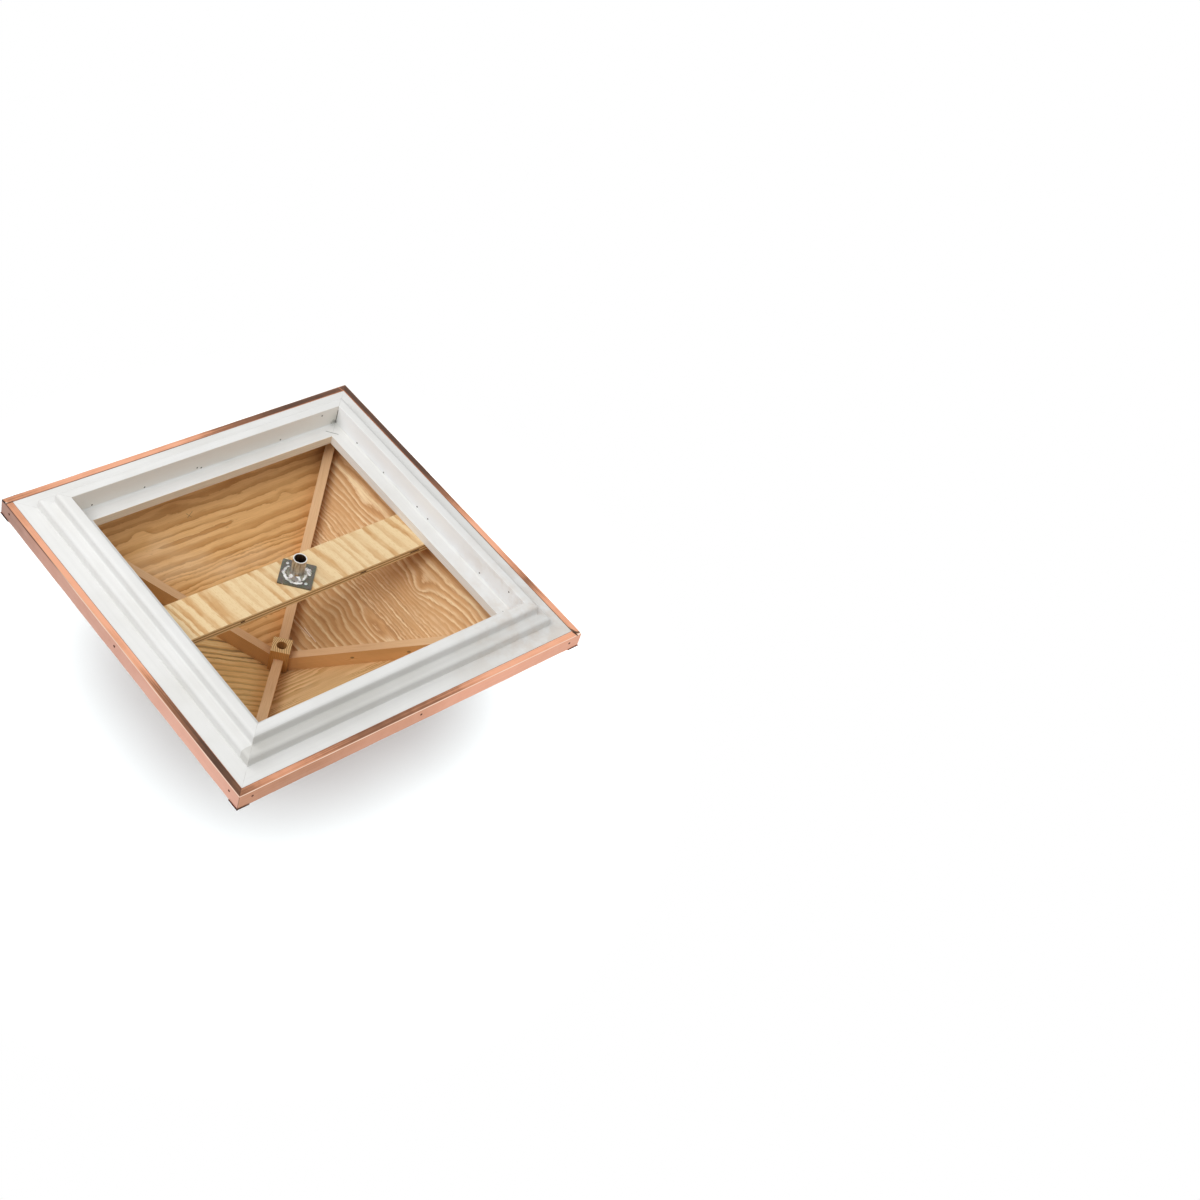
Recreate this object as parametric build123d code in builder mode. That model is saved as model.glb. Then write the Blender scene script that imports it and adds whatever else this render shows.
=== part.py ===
from build123d import *
import os
from math import cos, radians, sqrt, tan

# Roof section of a barn cupola. It stands on its collar, +Z towards the apex, with the
# origin at the centre of the collar's lowest face. Front is -Y and left is -X.

# Driving dimensions, millimetres and degrees
collar_opening_width = 603.0    # between the inner walls of the collar
collar_height = 47.0
inner_step_width = 21.0         # lower, inner step of the collar moulding
outer_step_width = 42.0         # whole width of the collar moulding
outer_step_height = 23.0        # from the soffit down to the outer step
step_round_radius = 7.0
cove_radius = 4.0

board_thickness = 19.0          # soffit boards and rafters
ledge_width = 29.5              # soffit board inside the collar
soffit_reveal_width = 32.5      # soffit board between the collar and the drip edge
drip_width = 14.0               # copper folded under the soffit
copper_thickness = 1.0
roof_pitch = 35.5

plywood_thickness = 12.0
rafter_depth = 38.0
rafter_tail_gap = 20.0          # from the rafter's tail to the corner of the soffit

hub_width = 38.0
hub_drop_height = 22.0          # below the lower edges of the rafters
rod_hole_diameter = 20.0

beam_width = 92.0
beam_thickness = 18.0
beam_bearing_length = 60.0      # on each soffit board

plate_width = 65.0
plate_thickness = 3.0
socket_outer_diameter = 26.7
socket_bore_diameter = 22.5
socket_length = 43.0
weld_width = 8.0                # foot of the weld, outwards from the socket

hip_cap_width = 18.0            # each wing of a hip cap, in plan
hip_cap_overhang = 1.2          # hip cap past the fascias
flashing_width = 110.0          # apex flashing
ferrule_height = 20.0           # above the flashing's apex
ferrule_wall_thickness = 2.0

# Levels and slopes worked out from the driving dimensions
diagonal = sqrt(2)
soffit_level = collar_height
ring_top = soffit_level + board_thickness
collar_half = collar_opening_width / 2
ring_half = collar_half - ledge_width
inner_step_half = collar_half + inner_step_width
outer_step_half = collar_half + outer_step_width
outer_step_level = soffit_level - outer_step_height
drip_half = outer_step_half + soffit_reveal_width
drip_level = soffit_level - copper_thickness
roof_half = drip_half + drip_width
wood_half = roof_half - copper_thickness
slope = tan(radians(roof_pitch))
slope_cosine = cos(radians(roof_pitch))
plywood_rise = plywood_thickness / slope_cosine
copper_rise = copper_thickness / slope_cosine
hip_slope = slope / diagonal
hip_cosine = 1 / sqrt(1 + hip_slope**2)
rafter_rise = rafter_depth / hip_cosine

under_apex = ring_top + slope * wood_half
wood_apex = under_apex + plywood_rise
copper_apex = wood_apex + copper_rise
cap_apex = copper_apex + copper_rise
rafter_apex = under_apex - rafter_rise
hub_bottom = rafter_apex - hip_slope * hub_width / 2 - hub_drop_height
plate_bottom = ring_top - plate_thickness

SIDES = ["front", "right", "back", "left"]
CORNERS = ["front_right", "back_right", "back_left", "front_left"]


def section_plane():
    """Vertical plane across the front side: x runs outwards to the front, y up."""
    return Plane(origin=(0, 0, 0), x_dir=(0, -1, 0), z_dir=(-1, 0, 0))


def hip_plane():
    """Vertical plane square to the front right hip: x runs along the ridge's width, y up."""
    return Plane(origin=(0, 0, 0), x_dir=(1, 1, 0), z_dir=(1, -1, 0))


def hip_direction():
    """Direction of the front right hip, from the apex down to the corner."""
    return Vector(1, -1, -slope).normalized()


def mitre_plane(turn):
    """Vertical plane through the axis along one diagonal, facing away from the front side."""
    return Plane(origin=(0, 0, 0), x_dir=(0, 0, 1), z_dir=(turn, 1, 0))


def trim_under_roof(apex_level):
    """Cut the piece in hand down to the pyramid below four roof slopes with this apex."""
    for outward_x, outward_y in [(1, 0), (0, 1), (-1, 0), (0, -1)]:
        roof_plane = Plane(
            origin=(0, 0, apex_level),
            z_dir=(outward_x * slope, outward_y * slope, 1),
        )
        split(bisect_by=roof_plane, keep=Keep.BOTTOM)


def write_part(solid, name):
    """Label one finished piece and write it to its own file."""
    solid.label = name
    export_step(solid, f"parts/{name}.step")


def write_around(solid, names):
    """Write four copies of a piece, each a quarter turn on from the one before."""
    for quarter, name in enumerate(names):
        with BuildPart() as turned:
            add(solid, rotation=(0, 0, 90 * quarter))
        write_part(turned.part, name)


os.makedirs("parts", exist_ok=True)

# Soffit boards: four flat boards mitred at the corners
with BuildPart() as soffit_board:
    with BuildSketch(Plane.XY.offset(soffit_level)):
        with BuildLine():
            Polyline(
                (-ring_half, -ring_half),
                (ring_half, -ring_half),
                (wood_half, -wood_half),
                (-wood_half, -wood_half),
                close=True,
            )
        make_face()
    extrude(amount=board_thickness)
write_around(soffit_board.part, [f"soffit_board_{side}" for side in SIDES])

# Collar moulding: a plain inner wall and two rounded steps outside, mitred at the corners
with BuildPart() as collar_moulding:
    with BuildSketch(section_plane()):
        with BuildLine():
            Line((collar_half, 0), (inner_step_half - step_round_radius, 0))
            inner_nose = RadiusArc(
                (inner_step_half - step_round_radius, 0),
                (inner_step_half, step_round_radius),
                -step_round_radius,
            )
            Line(inner_nose @ 1, (inner_step_half, outer_step_level - cove_radius))
            cove = RadiusArc(
                (inner_step_half, outer_step_level - cove_radius),
                (inner_step_half + cove_radius, outer_step_level),
                cove_radius,
            )
            Line(cove @ 1, (outer_step_half - step_round_radius, outer_step_level))
            outer_nose = RadiusArc(
                (outer_step_half - step_round_radius, outer_step_level),
                (outer_step_half, outer_step_level + step_round_radius),
                -step_round_radius,
            )
            Line(outer_nose @ 1, (outer_step_half, soffit_level))
            Line((outer_step_half, soffit_level), (collar_half, soffit_level))
            Line((collar_half, soffit_level), (collar_half, 0))
        make_face()
    extrude(amount=outer_step_half, both=True)
    split(bisect_by=mitre_plane(1), keep=Keep.BOTTOM)
    split(bisect_by=mitre_plane(-1), keep=Keep.BOTTOM)
write_around(collar_moulding.part, [f"collar_moulding_{side}" for side in SIDES])

# Plywood roof: four sloping triangles, mitred along the hips and drilled at the apex
with BuildPart() as plywood_panel:
    with BuildSketch(section_plane()):
        with BuildLine():
            Polyline(
                (0, under_apex),
                (wood_half, ring_top),
                (wood_half, ring_top + plywood_rise),
                (0, wood_apex),
                close=True,
            )
        make_face()
    extrude(amount=wood_half, both=True)
    split(bisect_by=mitre_plane(1), keep=Keep.BOTTOM)
    split(bisect_by=mitre_plane(-1), keep=Keep.BOTTOM)
    with Locations((0, 0, wood_apex)):
        Hole(radius=rod_hole_diameter / 2, depth=2 * wood_apex)
write_around(plywood_panel.part, [f"plywood_panel_{side}" for side in SIDES])

# Hip rafters: backed to both slopes, butted to the hub and seated on the soffit corners
rafter_tail = wood_half * diagonal - rafter_tail_gap
with BuildPart() as hip_rafter:
    with BuildSketch(hip_plane()):
        with BuildLine():
            Polyline(
                (0, under_apex),
                (board_thickness / 2, under_apex - hip_slope * board_thickness / 2),
                (board_thickness / 2, rafter_apex),
                (-board_thickness / 2, rafter_apex),
                (-board_thickness / 2, under_apex - hip_slope * board_thickness / 2),
                close=True,
            )
        make_face()
    extrude(amount=rafter_tail / hip_cosine, dir=hip_direction())
    split(bisect_by=Plane.XY.offset(ring_top), keep=Keep.TOP)
    split(bisect_by=hip_plane().offset(hub_width / 2), keep=Keep.TOP)
write_around(hip_rafter.part, [f"hip_rafter_{corner}" for corner in CORNERS])

# Hub block: square to the rafters, pointed under the plywood and bored for the rod
with BuildPart() as hub_block:
    with BuildSketch(Plane.XY.offset(hub_bottom)):
        Rectangle(hub_width, hub_width, rotation=45)
    extrude(amount=under_apex - hub_bottom)
    trim_under_roof(under_apex)
    with Locations((0, 0, under_apex)):
        Hole(radius=rod_hole_diameter / 2, depth=2 * under_apex)
write_part(hub_block.part, "hub_block")

# Cross beam: a plywood strip across the middle, laid on the soffit boards
with BuildPart() as cross_beam:
    with BuildSketch(Plane.XY.offset(ring_top)):
        Rectangle(2 * (ring_half + beam_bearing_length), beam_width)
    extrude(amount=beam_thickness)
write_part(cross_beam.part, "cross_beam")

# Rod bracket: a steel plate under the beam and the pipe welded to it
with BuildPart() as bracket_plate:
    with BuildSketch(Plane.XY.offset(plate_bottom)):
        Rectangle(plate_width, plate_width, rotation=45)
    extrude(amount=plate_thickness)
write_part(bracket_plate.part, "bracket_plate")

socket_half = socket_outer_diameter / 2
with BuildPart() as rod_socket:
    with BuildSketch(Plane.XZ):
        with BuildLine():
            Line((socket_bore_diameter / 2, plate_bottom), (socket_half + weld_width, plate_bottom))
            weld = RadiusArc(
                (socket_half + weld_width, plate_bottom),
                (socket_half, plate_bottom - weld_width),
                weld_width,
            )
            Line(weld @ 1, (socket_half, plate_bottom - socket_length))
            Line(
                (socket_half, plate_bottom - socket_length),
                (socket_bore_diameter / 2, plate_bottom - socket_length),
            )
            Line(
                (socket_bore_diameter / 2, plate_bottom - socket_length),
                (socket_bore_diameter / 2, plate_bottom),
            )
        make_face()
    revolve(axis=Axis.Z)
write_part(rod_socket.part, "rod_socket")

# Copper panels: one folded sheet a side, with its slope, fascia and drip edge
fascia_top = copper_apex - slope * roof_half
with BuildPart() as copper_panel:
    with BuildSketch(section_plane()):
        with BuildLine():
            Polyline(
                (0, wood_apex),
                (wood_half, ring_top + plywood_rise),
                (wood_half, soffit_level),
                (drip_half, soffit_level),
                (drip_half, drip_level),
                (roof_half, drip_level),
                (roof_half, fascia_top),
                (0, copper_apex),
                close=True,
            )
        make_face()
    extrude(amount=roof_half, both=True)
    split(bisect_by=mitre_plane(1), keep=Keep.BOTTOM)
    split(bisect_by=mitre_plane(-1), keep=Keep.BOTTOM)
    with Locations((0, 0, copper_apex)):
        Hole(radius=rod_hole_diameter / 2, depth=2 * copper_apex)
write_around(copper_panel.part, [f"copper_panel_{side}" for side in SIDES])

# Hip caps: a folded copper strip over each hip, trimmed just past both fascias
cap_limit = roof_half + hip_cap_overhang
with BuildPart() as hip_cap:
    with BuildSketch(hip_plane()):
        with BuildLine():
            Polyline(
                (0, copper_apex),
                (hip_cap_width, copper_apex - hip_slope * hip_cap_width),
                (hip_cap_width, cap_apex - hip_slope * hip_cap_width),
                (0, cap_apex),
                (-hip_cap_width, cap_apex - hip_slope * hip_cap_width),
                (-hip_cap_width, copper_apex - hip_slope * hip_cap_width),
                close=True,
            )
        make_face()
    extrude(amount=cap_limit * diagonal / hip_cosine, dir=hip_direction())
    split(bisect_by=hip_plane().offset(hip_cap_width), keep=Keep.TOP)
    split(bisect_by=Plane(origin=(cap_limit, 0, 0), z_dir=(1, 0, 0)), keep=Keep.BOTTOM)
    split(bisect_by=Plane(origin=(0, -cap_limit, 0), z_dir=(0, -1, 0)), keep=Keep.BOTTOM)
write_around(hip_cap.part, [f"hip_cap_{corner}" for corner in CORNERS])

# Apex flashing: a low copper pyramid over the hip caps, drilled for the ferrule
flashing_level = cap_apex - slope * flashing_width / 2
flashing_apex = cap_apex + copper_rise
ferrule_radius = rod_hole_diameter / 2 + ferrule_wall_thickness
with BuildPart() as flashing_core:
    with BuildSketch(Plane.XY.offset(flashing_level)):
        Rectangle(flashing_width, flashing_width)
    extrude(amount=cap_apex - flashing_level)
    trim_under_roof(cap_apex)
with BuildPart() as apex_flashing:
    with BuildSketch(Plane.XY.offset(flashing_level)):
        Rectangle(flashing_width, flashing_width)
    extrude(amount=flashing_apex - flashing_level)
    trim_under_roof(flashing_apex)
    add(flashing_core.part, mode=Mode.SUBTRACT)
    with Locations((0, 0, flashing_apex)):
        Hole(radius=ferrule_radius, depth=2 * flashing_apex)
write_part(apex_flashing.part, "apex_flashing")

# Rod ferrule: a copper sleeve through the flashing, standing on the copper below it
with BuildPart() as copper_core:
    with BuildSketch(Plane.XY.offset(flashing_level)):
        Rectangle(flashing_width, flashing_width)
    extrude(amount=copper_apex - flashing_level)
    trim_under_roof(copper_apex)
with BuildPart() as rod_ferrule:
    with BuildSketch(Plane.XY.offset(flashing_level)):
        Circle(ferrule_radius)
        Circle(rod_hole_diameter / 2, mode=Mode.SUBTRACT)
    extrude(amount=flashing_apex - flashing_level + ferrule_height)
    add(copper_core.part, mode=Mode.SUBTRACT)
write_part(rod_ferrule.part, "rod_ferrule")
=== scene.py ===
from math import cos, pi, radians, sin, sqrt, tan

import bmesh
import bpy
import numpy as np
from bpy.props import FloatProperty, FloatVectorProperty, PointerProperty
from mathutils import Matrix, Vector


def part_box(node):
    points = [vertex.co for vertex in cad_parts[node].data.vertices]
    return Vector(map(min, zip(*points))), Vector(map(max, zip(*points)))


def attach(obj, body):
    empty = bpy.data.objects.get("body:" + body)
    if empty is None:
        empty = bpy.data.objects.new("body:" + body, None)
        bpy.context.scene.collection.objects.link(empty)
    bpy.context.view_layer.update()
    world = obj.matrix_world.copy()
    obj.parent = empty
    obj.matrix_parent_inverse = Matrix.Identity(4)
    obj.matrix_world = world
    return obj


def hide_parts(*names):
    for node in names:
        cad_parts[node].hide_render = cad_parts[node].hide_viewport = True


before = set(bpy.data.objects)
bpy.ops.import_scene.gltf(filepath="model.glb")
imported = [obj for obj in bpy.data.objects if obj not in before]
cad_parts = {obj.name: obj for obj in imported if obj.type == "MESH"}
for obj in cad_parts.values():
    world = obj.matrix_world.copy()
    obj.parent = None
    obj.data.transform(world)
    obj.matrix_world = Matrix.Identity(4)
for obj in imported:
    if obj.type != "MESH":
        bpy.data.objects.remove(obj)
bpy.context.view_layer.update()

bl_info = {
    "name": "Cupola roof section",
    "version": (1, 0, 0),
    "blender": (4, 5, 0),
    "location": "3D View > Sidebar > Cupola",
    "description": "Finishes and fine pieces of a copper-clad cupola roof section",
    "category": "Object",
}

MM = 0.001
BODY = "root"
DIAGONAL = sqrt(2)
SHARP = 0.6             # edges that turn by more than this, in radians, stay sharp
SIDES = ["front", "right", "back", "left"]
CORNERS = ["front_right", "back_right", "back_left", "front_left"]

soffit_low, soffit_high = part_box("soffit_board_front")
collar_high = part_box("collar_moulding_front")[1]
copper_low, copper_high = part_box("copper_panel_right")
plate_low, plate_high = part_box("bracket_plate")
socket_low, socket_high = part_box("rod_socket")
flashing_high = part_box("apex_flashing")[1]
ferrule_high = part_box("rod_ferrule")[1]
beam_low, beam_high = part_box("cross_beam")
hub_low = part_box("hub_block")[0]

SOFFIT_LEVEL = soffit_low.z
RING_TOP = soffit_high.z
WOOD_HALF = soffit_high.x
COLLAR_WIDTH = 42 * MM
COLLAR_OUTER = collar_high.x
COLLAR_INNER = COLLAR_OUTER - COLLAR_WIDTH
ROOF_HALF = copper_high.x
DRIP_LEVEL = copper_low.z
SLOPE_START = 13 * MM                   # the copper panels start this far from the axis
SLOPE_END = ROOF_HALF - 6 * MM          # and bend into the fascia beyond this
PLATE_BOTTOM = plate_low.z
PIPE_END = socket_low.z

# Places that the photo shows, in mm
MARK_SPOT = (300, -300, 38)         # corner of the collar with a crack, dark blobs and a pencil line
PENCIL_LINE = ((269.7, -289.6, 47), (286.9, -271.4, 47))
BEIGE_PATCH_SPOT = (330, 330, 20)         # corner of the collar with a darker beige patch
BACK_RISER = (320.5, 321.5)         # the inner step's riser on the back side, darkened as painted shade
FRONT_NAIL_MARKS = [(-257, 39.3), (-145, 41), (-29, 37.4), (-19.4, 41), (165, 39.6), (262, 12)]
RIGHT_NAIL_MARKS = [(-228, 39.7), (-136.5, 42.5), (-25, 38.8), (10.4, 40.7), (176.5, 37.9), (259, 12.2)]
LEDGE_NAIL_MARK = (286.5, 271.7)
KNOTS = {"back_right": [(91.4, 104.8, 248.5), (164.5, 178.0, 195.6)]}
BEAM_VOIDS = [(125, 9), (250, 14), (-150, 6)]       # middle along the edge, half length
HUB_PITH = (-55, -20)
SCORCH = (-9.1, 9.8)
PLATE_SCREWS = [-31, 29]
# Radius and thickness in mm, first and last angle in degrees, and phase of each weld bead
WELD_ARCS = [(24.0, 3.8, 98, 268, 6), (22.6, 5.8, -12, 42, 3)]

# Corner laps of the copper and painted light at its corners, in mm: start, end, radius and tone of each
# stroke
CORNER_LAPS_AND_LIGHT = [
    # Painted shadow: a dark line along the front lip's inner edge, where it laps over the left lip
    ((-389.5, -376.0, 46.0), (-375.5, -376.0, 46.0), 1.2, (0.06, 0.035, 0.03)),
    ((-389.5, -379.0, 46.0), (-390.0, -387.0, 48.0), 1.9, (0.03, 0.02, 0.02)),
    ((-386.5, -377.6, 46.0), (-388.5, -378.5, 46.0), 0.9, (0.95, 0.80, 0.68)),
    ((374.5, -376.0, 46.0), (371.0, -390.0, 46.0), 0.9, (0.60, 0.26, 0.15)),
    ((376.4, 366.0, 46.0), (377.6, 376.0, 46.0), 1.2, (0.17, 0.11, 0.07)),
    ((377.6, 374.0, 46.0), (381.0, 382.0, 46.0), 2.2, (0.14, 0.09, 0.06)),
    ((380.0, 382.5, 46.0), (388.0, 386.0, 46.0), 2.4, (0.12, 0.075, 0.045)),
    # Painted shade: a near-black stroke in the gap where the back lip stops short of the corner
    ((376.6, 379.0, 46.0), (379.0, 389.5, 46.0), 1.7, (0.010, 0.007, 0.007)),
    # Painted highlight on the small fold at the back right corner
    ((381.5, 388.8, 46.0), (390.0, 388.2, 46.0), 1.6, (0.99, 0.80, 0.67)),
    ((-390.0, 390.0, 47.0), (-390.0, 390.0, 84.0), 0.8, (0.30, 0.15, 0.10))]

GROUND_NORMAL = (-0.12, 0.07, -0.99)        # of the white ground behind the photographed object
GROUND_TONE = (0.90, 0.970, 0.990)


def a_length(name, description, size):
    """A size for the sidebar, given in mm."""
    return FloatProperty(name=name, description=description, default=size * MM, unit="LENGTH")


def a_tone(name, description, colour):
    """A linear colour for the sidebar."""
    return FloatVectorProperty(
        name=name, description=description, default=colour, subtype="COLOR", size=3, min=0, max=1)


def a_place(name, description, point, kind="TRANSLATION"):
    """A point or a direction for the sidebar."""
    return FloatVectorProperty(name=name, description=description, default=point, subtype=kind, size=3)


def a_level(name, description, strength):
    """A strength of light for the sidebar."""
    return FloatProperty(name=name, description=description, default=strength)


class CupolaSizes(bpy.types.PropertyGroup):
    """Sizes of the fine pieces."""

    roof_pitch: FloatProperty(
        name="Roof pitch", description="Slope of the four roof sides", default=radians(35.5), subtype="ANGLE")
    ring_half: a_length("Ring half width", "From the axis to the bare inner edge of the soffit boards", 272)
    collar_step: a_length("Collar step", "Width of each step of the collar moulding", 21)
    outer_step_level: a_length("Outer step level", "Level of the collar's outer step", 24)
    step_round: a_length("Step round", "Radius of each step's rounded nose", 7)
    cove: a_length("Cove", "Radius at the foot of the inner step", 4)
    arris: a_length("Arris", "Radius of the painted boards' eased edges", 1.2)
    caulk: a_length("Caulk", "Leg of the caulk bead inside the collar", 4.5)
    copper_thickness: a_length("Copper thickness", "Thickness of the folded sheet", 1)
    drip_width: a_length("Drip width", "Copper folded under the soffit", 14)
    plywood_thickness: a_length("Plywood thickness", "Thickness of the roof panels", 12)
    rafter_depth: a_length("Rafter depth", "Depth of the hip rafters, square to the hip", 38)
    fold_round: a_length("Fold radius", "Outside radius of the folds in the copper", 1.6)
    nail_radius: a_length("Nail radius", "Radius of the copper nails' heads", 2.6)
    nail_spacing: a_length("Nail spacing", "From the middle of each side to its outer nails", 362)
    nail_level: a_length("Nail level", "Level of the nails in the fascias", 60)
    screw_radius: a_length("Screw radius", "Radius of the screws' heads in the bracket plate", 3.4)
    plate_corner: a_length("Plate corner", "Radius of the bracket plate's corners", 2.5)
    pipe_radius: a_length("Pipe radius", "Outside radius of the bracket's pipe", 13.35)
    pipe_bore: a_length("Pipe bore", "Inside radius of the bracket's pipe", 11.25)


class CupolaColours(bpy.types.PropertyGroup):
    """Main colours of the finishes."""

    paint: a_tone("White paint", "Satin paint on soffit and collar", (0.80, 0.80, 0.785))
    bare_pine: a_tone("Bare edge", "Unpainted inner edge of the soffit boards", (0.82, 0.72, 0.58))
    rafter: a_tone("Planed wood", "Sides of the rafters' planed softwood", (0.74, 0.45, 0.205))
    ply_pale: a_tone("Plywood, early wood", "Pale bands of the roof panels", (0.87, 0.54, 0.235))
    ply_middle: a_tone("Plywood, ground", "Plain ground of the roof panels", (0.59, 0.305, 0.102))
    ply_dark: a_tone("Plywood, late wood", "Dark bands of the roof panels", (0.47, 0.225, 0.070))
    copper: a_tone("Copper", "Bright folded copper", (0.80, 0.41, 0.285))
    # Painted reflection: the dark brown end of the lips' painted reflections
    copper_brown: a_tone("Copper, dulled", "Brown tarnish on the copper", (0.125, 0.070, 0.050))
    steel: a_tone("Steel", "Dark galvanised bracket plate", (0.130, 0.124, 0.100))


class CupolaStage(bpy.types.PropertyGroup):
    """Camera and light levels."""

    camera_place: a_place("Camera", "Where the camera stands", (-1.67362, 1.77507, -2.45561))
    camera_aim: a_place("Aim", "Point at the middle of the picture", (0.35662, 0.42386, -0.09935))
    camera_up: a_place(
        "Up", "Direction that is up in the picture", (0.33982, -0.65918, -0.67082), "DIRECTION")
    lens: FloatProperty(name="Lens", description="Focal length on a 36 mm wide sensor", default=55.066)
    dome: a_level("Dome light", "Strength of the white surroundings on matt surfaces", 0.5)
    key: a_level("Key light", "Strength of the soft key light on the underside", 1.3)
    fill: a_level("Fill light", "Power of the softbox near the front left corner", 11.5)
    back_fill: a_level("Back fill light", "Strength of the weak light from the back right corner", 0.26)
    roof_key: a_level("Roof light", "Strength of the soft key light on the roof", 1.6)
    roof_gloss: a_level("Roof gloss", "Strength of the wide light that only gloss shows", 0.22)
    ground_key: a_level("Ground light", "Strength of the light on the photographed ground", 4.65)


def sizes():
    """The sizes that the sidebar holds."""
    return bpy.context.scene.cupola_sizes


def tones(*names):
    """Colours that the sidebar holds, by their names."""
    return [tuple(getattr(bpy.context.scene.cupola_colours, name)) for name in names]


def in_metres(numbers):
    """A list of numbers or of tuples of them, from mm to metres."""
    return [tuple(n * MM for n in item) if isinstance(item, tuple) else item * MM for item in numbers]


def between(first, second, share):
    """Tone that lies the share of the way from first to second."""
    return tuple(a + (b - a) * share for a, b in zip(first, second))


def roof_levels():
    """Levels on the axis: underside of the plywood, its top, and the copper's top."""
    s = sizes()
    under_apex = RING_TOP + tan(s.roof_pitch) * WOOD_HALF
    wood_apex = under_apex + s.plywood_thickness / cos(s.roof_pitch)
    return under_apex, wood_apex, wood_apex + s.copper_thickness / cos(s.roof_pitch)


class Field:
    """A socket that varies over a surface. Arithmetic on it adds Math nodes to its finish."""

    def __init__(self, finish, socket):
        self.finish = finish
        self.socket = socket

    def math(self, operation, *values):
        return self.finish.math(operation, self, *values)

    def __add__(self, other):
        return self.math("ADD", other)

    def __radd__(self, other):
        return self.math("ADD", other)

    def __sub__(self, other):
        return self.math("SUBTRACT", other)

    def __rsub__(self, other):
        return self.finish.math("SUBTRACT", other, self)

    def __mul__(self, other):
        return self.math("MULTIPLY", other)

    def __rmul__(self, other):
        return self.math("MULTIPLY", other)

    def __truediv__(self, other):
        return self.math("DIVIDE", other)

    def __abs__(self):
        return self.math("ABSOLUTE")

    def __gt__(self, other):
        return self.math("GREATER_THAN", other)

    def __lt__(self, other):
        return self.math("LESS_THAN", other)


class Nodes:
    """The node tree of a material or a world. The method node adds any node to it."""

    def __init__(self, owner):
        owner.use_nodes = True
        self.owner = owner
        self.tree = owner.node_tree
        self.tree.nodes.clear()

    def node(self, kind, settings=None, inputs=None, output=0):
        """Add a node: settings first, a ramp's stops among them, then its sockets; give one output."""
        node = self.tree.nodes.new(kind)
        for name, value in (settings or {}).items():
            if name == "stops":
                elements = node.color_ramp.elements
                elements[0].position, elements[1].position = value[0][0], value[-1][0]
                for position, colour in value[1:-1]:
                    elements.new(position)
                for element, (position, colour) in zip(elements, value):
                    element.color = (*colour, 1)
            else:
                setattr(node, name, value)
        for name, value in (inputs or {}).items():
            if isinstance(value, Field):
                self.tree.links.new(value.socket, node.inputs[name])
            else:
                node.inputs[name].default_value = value
        return Field(self, node.outputs[output]) if node.outputs else node

    def math(self, operation, *values, clamp=False):
        return self.node(
            "ShaderNodeMath", {"operation": operation, "use_clamp": clamp}, dict(enumerate(values)))

    def vector_math(self, operation, inputs, output="Value"):
        return self.node("ShaderNodeVectorMath", {"operation": operation}, inputs, output)


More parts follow.
